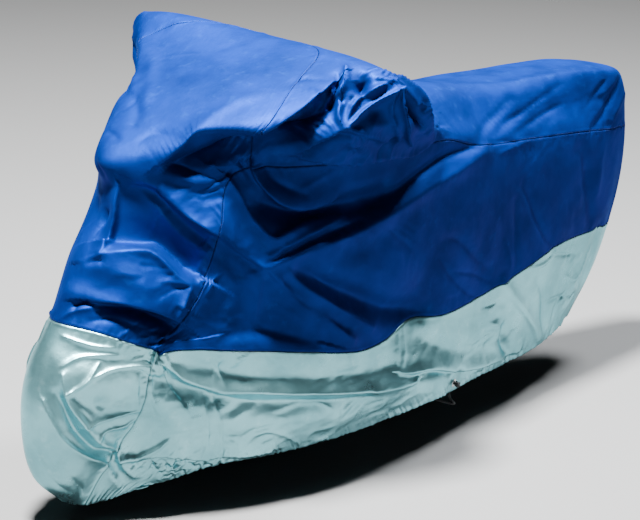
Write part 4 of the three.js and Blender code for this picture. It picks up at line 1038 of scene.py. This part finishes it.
class Finish:
    """A procedural material, with short ways to add and link its nodes."""

    def __init__(self, name):
        self.material = bpy.data.materials.new(name)
        self.material.use_nodes = True
        self.nodes, self.links = self.material.node_tree.nodes, self.material.node_tree.links
        self.shader = self.nodes["Principled BSDF"]
        self.pieces = self.add("ShaderNodeTexCoord").outputs["Object"]

    def add(self, kind, sources=None, **settings):
        node = self.nodes.new(kind)
        for key, value in settings.items():
            setattr(node, key, value)
        for key, source in (sources or {}).items():
            self.feed(node.inputs[key], source)
        return node

    def feed(self, socket, source):
        """Links the socket to a node's output, or gives it a value."""
        if isinstance(source, bpy.types.NodeSocket):
            self.links.new(source, socket)
        else:
            socket.default_value = source

    def number(self, operation, *sources):
        return self.add("ShaderNodeMath", dict(enumerate(sources)), operation=operation).outputs[0]

    def ramp(self, source, low, high, start=0.0, end=1.0):
        """A value that runs smoothly from start to end as source goes from low to high."""
        inputs = {"Value": source, "From Min": low, "From Max": high, "To Min": start, "To Max": end}
        return self.add("ShaderNodeMapRange", inputs, interpolation_type="SMOOTHSTEP").outputs[0]

    def noise(self, scale, detail=3.0, vector=None, rough=0.55):
        inputs = {"Vector": vector or self.pieces, "Scale": scale, "Detail": detail, "Roughness": rough}
        return self.add("ShaderNodeTexNoise", inputs).outputs["Fac"]

    def mix(self, share, first, second):
        # The colour sockets of this node are its inputs 6 and 7 and its output 2.
        return self.add("ShaderNodeMix", {0: share, 6: first, 7: second}, data_type="RGBA").outputs[2]

    def bump(self, height, strength, distance, normal=None):
        inputs = {"Height": height, "Strength": strength, "Distance": distance}
        if normal is not None:
            inputs["Normal"] = normal
        return self.add("ShaderNodeBump", inputs).outputs["Normal"]

    def set(self, **values):
        for key, source in values.items():
            self.feed(self.shader.inputs[key.replace("_", " ")], source)


def coated_nylon(name, deep, pale, painted_highlight, tint, roughness, metal, sheen, coat):
    """Plain-woven nylon taffeta with a thin coat: fine yarns, faint slubs, small creases with painted
    highlights on their tops, and painted shade that darkens the seams.
    """
    f = Finish(name)
    threads = f.add("ShaderNodeUVMap", uv_map="weave").outputs["UV"]
    across = f.add("ShaderNodeSeparateXYZ", {0: threads})
    yarn = 2 * math.pi / YARN_PITCH
    warp = f.number("SINE", f.number("MULTIPLY", across.outputs[0], yarn))
    weft = f.number("SINE", f.number("MULTIPLY", across.outputs[1], yarn))
    weave = f.number("MULTIPLY", warp, weft)
    slub_place = f.add("ShaderNodeMapping", {"Vector": threads, "Scale": (60, 900, 1)}).outputs[0]
    slub = f.noise(1, 2, slub_place)
    slub_back = f.add("ShaderNodeMapping", {"Vector": threads, "Scale": (900, 60, 1)}).outputs[0]
    slubs = f.number("ADD", slub, f.noise(1, 2, slub_back))
    cloud = f.noise(5, 4)
    crease = f.noise(34, 3, rough=0.6)
    fine = f.noise(110, 2)
    seam_off = f.add("ShaderNodeAttribute", attribute_name="seam_off").outputs["Fac"]
    ditch = f.ramp(seam_off, 0.0006, 0.0032, 1, 0)
    # Painted highlight: the tops of the small creases take on a share of the highlight colour.
    crease_highlight = f.ramp(crease, 0.55, 0.75, 0, 0.35)
    colour = f.mix(f.ramp(cloud, 0.3, 0.7), deep, pale)
    colour = f.mix(f.number("MULTIPLY", crease_highlight, 0.4), colour, painted_highlight)
    colour = f.mix(f.ramp(slubs, 0.8, 1.25, 0, 0.16), colour, pale)
    # Painted shade: the colour darkens within a few millimetres of each seam, in its ditch, where shade falls.
    ditch_painted_shade = tuple(DITCH_PAINTED_SHADE * value for value in deep[:3]) + (1,)
    colour = f.mix(f.number("MULTIPLY", ditch, 0.45), colour, ditch_painted_shade)
    normal = f.bump(crease, 0.35, 0.0025)
    normal = f.bump(fine, 0.18, 0.0008, normal)
    normal = f.bump(slubs, 0.10, 0.0002, normal)
    normal = f.bump(weave, 0.12, 0.00012, normal)
    f.set(
        Base_Color=colour,
        Metallic=metal,
        Roughness=f.ramp(f.noise(14, 3), 0.3, 0.7, roughness - 0.05, roughness + 0.07),
        Normal=normal,
        Sheen_Weight=sheen,
        Sheen_Roughness=0.35,
        Sheen_Tint=tint,
        Specular_Tint=tint,
        Coat_Weight=coat,
        Coat_Roughness=0.32,
    )
    return f.material


YARN_PITCH = 0.0007
# The painted shade in the seam's ditch is the deep colour times this.
DITCH_PAINTED_SHADE = 0.25
BLUE_DEEP = (0.0005, 0.0085, 0.085, 1)
BLUE_PALE = (0.001, 0.016, 0.15, 1)
# Painted highlight colour of the blue, mixed onto the tops of the small creases
BLUE_PAINTED_HIGHLIGHT = (0.006, 0.06, 0.32, 1)
BLUE_TINT = (0.10, 0.42, 1, 1)
SILVER_DEEP = (0.14, 0.34, 0.38, 1)
SILVER_PALE = (0.24, 0.52, 0.57, 1)
# Painted highlight colour of the silver, mixed onto the tops of the small creases
SILVER_PAINTED_HIGHLIGHT = (0.52, 0.82, 0.87, 1)
SILVER_TINT = (0.75, 0.97, 1, 1)


def eyelet_metal():
    """Nickel-plated brass with fine turned scratches and a few dull spots."""
    f = Finish("eyelet_metal")
    dull = f.noise(180, 3)
    scratch = f.noise(900, 2)
    f.set(
        Base_Color=f.mix(f.ramp(dull, 0.4, 0.7), (0.80, 0.82, 0.82, 1), (0.60, 0.60, 0.58, 1)),
        Metallic=1.0,
        Roughness=f.ramp(dull, 0.3, 0.7, 0.20, 0.38),
        Normal=f.bump(scratch, 0.15, 0.0001),
    )
    return f.material


def braided_cord():
    """Black elastic cord under a braided cover: two sets of strands that wind opposite ways."""
    f = Finish("braided_elastic_cord")
    braid = f.add("ShaderNodeUVMap", uv_map="braid").outputs[0]
    around, along, _ = f.add("ShaderNodeSeparateXYZ", {0: braid}).outputs
    turn = f.number("MULTIPLY", around, 2 * math.pi * BRAID_STRANDS)
    run = f.number("MULTIPLY", along, 2 * math.pi / BRAID_PITCH)
    one_way = f.number("SINE", f.number("ADD", turn, run))
    other_way = f.number("SINE", f.number("SUBTRACT", turn, run))
    strands = f.number("MAXIMUM", one_way, other_way)
    colour = f.mix(f.ramp(strands, -0.2, 0.9), (0.004, 0.004, 0.005, 1), (0.03, 0.03, 0.034, 1))
    colour = f.mix(f.ramp(f.noise(300, 2), 0.6, 0.75, 0, 0.3), colour, (0.10, 0.10, 0.10, 1))
    f.set(
        Base_Color=colour,
        Roughness=f.ramp(strands, -0.5, 1, 0.85, 0.6),
        Normal=f.bump(strands, 0.6, 0.0004),
        Sheen_Weight=0.2,
        Sheen_Roughness=0.4,
    )
    return f.material


def sewing_thread(name, dark, light):
    """Twisted polyester thread."""
    f = Finish(name)
    twist = f.noise(2600, 2)
    f.set(
        Base_Color=f.mix(f.ramp(twist, 0.35, 0.65), dark, light),
        Roughness=0.85,
        Normal=f.bump(twist, 0.3, 0.0001),
        Sheen_Weight=0.02,
    )
    return f.material


BRAID_STRANDS = 8
BRAID_PITCH = 0.0035

# Roughness, metal, sheen, coat
FINISHES = {
    "blue_nylon": coated_nylon("blue_coated_nylon", BLUE_DEEP, BLUE_PALE, BLUE_PAINTED_HIGHLIGHT, BLUE_TINT,
                               0.6, 0.75, 0.01, 0),
    "silver_nylon": coated_nylon("silver_coated_nylon", SILVER_DEEP, SILVER_PALE, SILVER_PAINTED_HIGHLIGHT, SILVER_TINT,
                                 0.32, 0.92, 0.01, 0.02),
    "eyelet_metal": eyelet_metal(),
    "elastic_cord": braided_cord(),
    "blue_thread": sewing_thread("blue_thread", (0.0006, 0.004, 0.03, 1), (0.001, 0.012, 0.09, 1)),
    "silver_thread": sewing_thread("silver_thread", (0.10, 0.13, 0.14, 1), (0.2, 0.25, 0.26, 1)),
}

for name, finish, row_spans, line_spans, patches in PANELS:
    piece = panel_object(name, row_spans, line_spans, patches)
    apply_modifier(piece, "SOLIDIFY", thickness=CLOTH_THICKNESS, offset=-1, use_even_offset=False)
    piece.data.materials.clear()
    piece.data.materials.append(FINISHES[finish])
    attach(piece, "root")
    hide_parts(name)

# Sewing: a row of stitches on each side of a seam, and one above the hem
STITCH_PITCH = 0.006
STITCH_LENGTH = 0.0044
STITCH_RADIUS = 0.00028
STITCH_SINK = 0.0002
STITCH_FROM_SEAM = 0.0032
STITCH_FROM_HEM = 0.02
# Along a stitch, from end to end: share of its half length, height and breadth as shares of the radius
STITCH_RINGS = [(-1, -0.7, 0.7), (0, 0.9, 1), (1, -0.7, 0.7)]
STITCH_SIDES = [(1, 0), (0, 1), (-1, 0), (0, -1)]
BLUE_SEAMS = ("left top seam", "right top seam", "cross seam", "tail seam", "rear seam")
SILVER_SEAMS = ("left front seam", "right front seam")


def stitch_places(fixed, at, start, end, offset):
    """Rows and lines of the stitches that follow a seam at an offset from it."""
    moving, along = seam_places(fixed, at, start, end)
    places = np.interp(np.arange(STITCH_PITCH, along[-1] - STITCH_PITCH, STITCH_PITCH), along, moving)
    still = np.full(len(places), float(at))
    rows, lines = (still, places) if fixed == "row" else (places, still)
    step = (NUDGE * np.sign(offset), 0) if fixed == "row" else (0, NUDGE * np.sign(offset))
    reach = np.linalg.norm(on_cloth(rows + step[0], lines + step[1]) - on_cloth(rows, lines), axis=1)
    share = abs(offset) / reach
    return rows + step[0] * share, lines + step[1] * share


def stitches(name, runs, finish):
    """One piece of all stitches on these runs of a seam."""
    middles, aheads, normals = [], [], []
    for fixed, at, start, end, offset in runs:
        rows, lines = stitch_places(fixed, at, start, end, offset)
        points, _ = cloth_points(rows, lines)
        middles.append(points[1:-1])
        aheads.append(unit(points[2:] - points[:-2]))
        normals.append(outward(slanted(rows, lines), lines)[1:-1])
    middle, ahead, normal = (np.concatenate(part) for part in (middles, aheads, normals))
    side = unit(np.cross(normal, ahead))
    up = np.cross(ahead, side)
    rings = []
    for place, height, breadth in STITCH_RINGS:
        for across, above in STITCH_SIDES:
            lift = STITCH_RADIUS * (height + above * breadth) - STITCH_SINK
            beside = side * across * breadth * STITCH_RADIUS
            rings.append(middle + ahead * place * STITCH_LENGTH / 2 + beside + up * lift)
    sides = len(STITCH_SIDES)
    points = np.stack(rings, 1).reshape(-1, 3)
    quads = [(ring * sides + k, ring * sides + (k + 1) % sides, (ring + 1) * sides + (k + 1) % sides,
              (ring + 1) * sides + k) for ring in range(len(STITCH_RINGS) - 1) for k in range(sides)]
    last = (len(STITCH_RINGS) - 1) * sides
    quads += [(3, 2, 1, 0), (last, last + 1, last + 2, last + 3)]
    one = np.array(quads)
    faces = (one[None] + (np.arange(len(middle)) * len(rings))[:, None, None]).reshape(-1, 4)
    mesh = bpy.data.meshes.new(name)
    mesh.from_pydata(points.tolist(), [], faces.tolist())
    mesh.polygons.foreach_set("use_smooth", np.ones(len(faces), bool))
    piece = new_piece(name, mesh)
    outside_out(piece)
    piece.data.materials.append(FINISHES[finish])
    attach(piece, "root")
    return piece


def outside_out(piece):
    """Turns all faces outwards."""
    select_only(piece)
    bpy.ops.object.mode_set(mode="EDIT")
    bpy.ops.mesh.select_all(action="SELECT")
    bpy.ops.mesh.normals_make_consistent(inside=False)
    bpy.ops.object.mode_set(mode="OBJECT")


blue_runs, silver_runs = [], []
for name, fixed, at, start, end, *_ in SEAMS:
    for offset in (-STITCH_FROM_SEAM, STITCH_FROM_SEAM):
        inner = offset * np.sign(at) < 0 if fixed == "line" else (offset > 0) == (at == FRONT_BELT)
        blue = name in BLUE_SEAMS or (name not in SILVER_SEAMS and inner)
        (blue_runs if blue else silver_runs).append((fixed, at, start, end, offset))
for name, fixed, at, start, end, *_ in HEMS:
    silver_runs.append((fixed, at, start, end, STITCH_FROM_HEM * (1 if at == 0 else -np.sign(at))))
blue_sewing = stitches("blue_sewing", blue_runs, "blue_thread")
silver_sewing = stitches("silver_sewing", silver_runs, "silver_thread")

# Eyelets: a rim on each face of the cloth and a barrel through it. Radius and height above the cloth.
EYELET_SECTION = [
    (0.0060, -0.0014), (0.0060, 0.0006), (0.0064, 0.0011), (0.0071, 0.0014), (0.0080, 0.0014),
    (0.0095, 0.0011), (0.0110, 0.0007), (0.0118, 0.0004), (0.0120, 0.0001), (0.0117, -0.0001),
    (0.0083, -0.0001), (0.0083, -0.0009), (0.0112, -0.0009), (0.0116, -0.0012), (0.0110, -0.0016),
    (0.0080, -0.0019), (0.0066, -0.0018),
]
EYELET_SIDES = 64


def turned_ring(name, section, sides):
    """A ring shaped as by hand: a circle is drawn out into the next, row by row, and closed on itself."""
    bpy.ops.object.select_all(action="DESELECT")
    (radius, height), rest = section[0], section[1:] + section[:1]
    bpy.ops.mesh.primitive_circle_add(vertices=sides, radius=radius, location=(0, 0, height))
    bpy.ops.object.transform_apply(location=True, rotation=False, scale=False)
    ring = bpy.context.object
    ring.name = name
    bpy.ops.object.mode_set(mode="EDIT")
    bpy.ops.mesh.select_all(action="SELECT")
    for next_radius, next_height in rest:
        bpy.ops.mesh.extrude_edges_move(TRANSFORM_OT_translate={"value": (0, 0, next_height - height)})
        wider = next_radius / radius
        bpy.ops.transform.resize(value=(wider, wider, 1), center_override=(0, 0, 0))
        radius, height = next_radius, next_height
    bpy.ops.mesh.select_all(action="SELECT")
    bpy.ops.mesh.remove_doubles(threshold=1e-6)
    bpy.ops.mesh.normals_make_consistent(inside=False)
    bpy.ops.mesh.faces_shade_smooth()
    bpy.ops.object.mode_set(mode="OBJECT")
    return ring


for side, (middle, normal) in EYELET_PLACES.items():
    eyelet = turned_ring("eyelet_" + side + "_ring", EYELET_SECTION, EYELET_SIDES)
    turn = Vector((0, 0, 1)).rotation_difference(Vector(normal)).to_matrix().to_4x4()
    eyelet.matrix_world = Matrix.Translation(Vector(middle - GROUND)) @ turn
    bpy.ops.object.transform_apply(location=True, rotation=True, scale=True)
    eyelet.data.materials.append(FINISHES["eyelet_metal"])
    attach(eyelet, "root")
    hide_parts("eyelet_" + side)

# The elastic cord from eyelet to eyelet under the cover, with a stopper knot inside each
CORD_DIAMETER = 0.006
# From the eyelet's middle: out along its normal, forward and up
CORD_TURN = [
    (-0.0033, 0, 0),
    (0.004, 0, 0),
    (0.013, -0.003, -0.004),
    (0.018, -0.005, -0.016),
    (0.015, -0.002, -0.032),
    (0.006, 0.004, -0.046),
    (-0.010, 0.009, -0.054),
]
# Under the belly: place across, and forward and up from the eyelet's middle
BELLY_RUN = [(0.170, 0.014, -0.058), (0.090, 0.017, -0.063), (0, 0.018, -0.065)]
CORD_STEP = 0.0015
CORD_SAMPLES = 1200
CORD_SIDES = 14
KNOT_RADIUS = 0.009
KNOT_LENGTH = 0.015
KNOT_FRONT = -0.0036
KNOT_PLACES = 120
# Any direction that a tube doesn't start along, to set out its first ring
TUBE_ASIDE = (0.3, 0.2, 1)


def cord_route():
    """The cord's route, repeated from the part's source: half of it, and its mirror image."""
    middle, normal = EYELET_PLACES["left"]
    start = middle - GROUND
    half = [start + out * normal + (forward, 0, up) for out, forward, up in CORD_TURN]
    half += [np.array([start[0] + forward, across, start[2] + up]) for across, forward, up in BELLY_RUN]
    return np.array(half + [place * (1, -1, 1) for place in half[-2::-1]])


def evenly(points, step):
    """Points of a run, the same step apart."""
    length = run_lengths(points)
    at = np.linspace(0, length[-1], int(round(length[-1] / step)) + 1)
    return np.stack([np.interp(at, length, points[:, k]) for k in range(3)], 1), at


def round_tube(name, points, along, radius, sides, closed=False):
    """A tube along points, with its own map: around and along it."""
    count = len(points)
    ahead = np.roll(points, -1, 0) - np.roll(points, 1, 0) if closed else np.gradient(points, axis=0)
    ahead = unit(ahead)
    side = unit(np.cross(ahead[0], TUBE_ASIDE))
    shape = bmesh.new()
    braid = shape.loops.layers.uv.new("braid")
    rings = []
    for k in range(count):
        side = unit(side - ahead[k] * (side @ ahead[k]))
        up = np.cross(ahead[k], side)
        turns = [2 * math.pi * j / sides for j in range(sides)]
        places = [points[k] + radius * (math.cos(t) * side + math.sin(t) * up) for t in turns]
        rings.append([shape.verts.new(place) for place in places])
    for k in range(count if closed else count - 1):
        here, after = rings[k], rings[(k + 1) % count]
        run = (along[k], along[k + 1] if k + 1 < count else 2 * along[-1] - along[-2])
        for j in range(sides):
            face = shape.faces.new((here[j], here[(j + 1) % sides], after[(j + 1) % sides], after[j]))
            face.smooth = True
            corners = ((j, run[0]), (j + 1, run[0]), (j + 1, run[1]), (j, run[1]))
            for loop, (around, place) in zip(face.loops, corners):
                loop[braid].uv = (around / sides, place)
    if not closed:
        shape.faces.new(rings[0][::-1])
        shape.faces.new(rings[-1])
    mesh = bpy.data.meshes.new(name)
    shape.to_mesh(mesh)
    shape.free()
    piece = new_piece(name, mesh)
    outside_out(piece)
    piece.data.materials.append(FINISHES["elastic_cord"])
    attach(piece, "root")
    return piece


def knot_run(middle, normal):
    """The overhand loop of a stopper knot, drawn tight behind its eyelet."""
    radius = CORD_DIAMETER / 2
    turn = np.linspace(0, 2 * math.pi, KNOT_PLACES, endpoint=False)
    swing = (2 + np.cos(3 * turn)) / 3 * (KNOT_RADIUS - radius)
    flat = unit(np.cross(normal, (0, 0, 1)))
    upright = np.cross(normal, flat)
    depth = KNOT_FRONT - KNOT_LENGTH / 2 + np.sin(3 * turn) * (KNOT_LENGTH / 2 - radius)
    across = swing * np.cos(2 * turn)
    above = swing * np.sin(2 * turn)
    return middle - GROUND + across[:, None] * flat + above[:, None] * upright + depth[:, None] * normal


for side, (middle, normal) in EYELET_PLACES.items():
    run = knot_run(middle, normal)
    along = np.arange(len(run)) * np.linalg.norm(run[1] - run[0])
    knot = round_tube("stopper_knot_" + side, run, along, CORD_DIAMETER / 2, CORD_SIDES, closed=True)
    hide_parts("cord_knot_" + side)

route = cord_route()
cord_line, cord_along = evenly(along_curve(route, np.linspace(0, len(route) - 1, CORD_SAMPLES)), CORD_STEP)
cord = round_tube("elastic_belly_cord", cord_line, cord_along, CORD_DIAMETER / 2, CORD_SIDES)
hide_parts("belly_cord")

# Studio
FLOOR_SIZE = 60
FLOOR_SHADE = (0.13, 0.132, 0.134, 1)


def add_floor():
    bpy.ops.object.select_all(action="DESELECT")
    bpy.ops.mesh.primitive_plane_add(size=FLOOR_SIZE, location=(0, 0, -REST_HEIGHT))
    floor = bpy.context.object
    floor.name = "studio_floor"
    f = Finish("pale_floor")
    f.set(Base_Color=FLOOR_SHADE, Roughness=0.9)
    floor.data.materials.append(f.material)


# Name, place, size, power, colour
LIGHTS = [
    ("key_light", (1.8, 0.5, 5.8), 1.1, 5700, (1, 0.99, 0.97)),
    ("top_light", (-2.4, 0.5, 4.8), 1.4, 1200, (0.96, 0.98, 1)),
    ("fill_light", (0.4, 5.6, 1.7), 2.6, 10, (0.95, 0.98, 1)),
]
LIGHT_AIM = Vector((0.1, 0, -0.4))
SKY_SHADE = (0.86, 0.93, 1, 1)
SKY_STRENGTH = 0.02


def add_lights():
    for name, place, size, power, colour in LIGHTS:
        light = bpy.data.lights.new(name, "AREA")
        light.shape = "DISK"
        light.size, light.energy, light.color = size, power, colour
        lamp = new_piece(name, light)
        lamp.location = place
        lamp.rotation_euler = (LIGHT_AIM - lamp.location).to_track_quat("-Z", "Y").to_euler()
    world = bpy.data.worlds.new("studio")
    world.use_nodes = True
    world.node_tree.nodes["Background"].inputs["Color"].default_value = SKY_SHADE
    world.node_tree.nodes["Background"].inputs["Strength"].default_value = SKY_STRENGTH
    bpy.context.scene.world = world


add_floor()
add_lights()
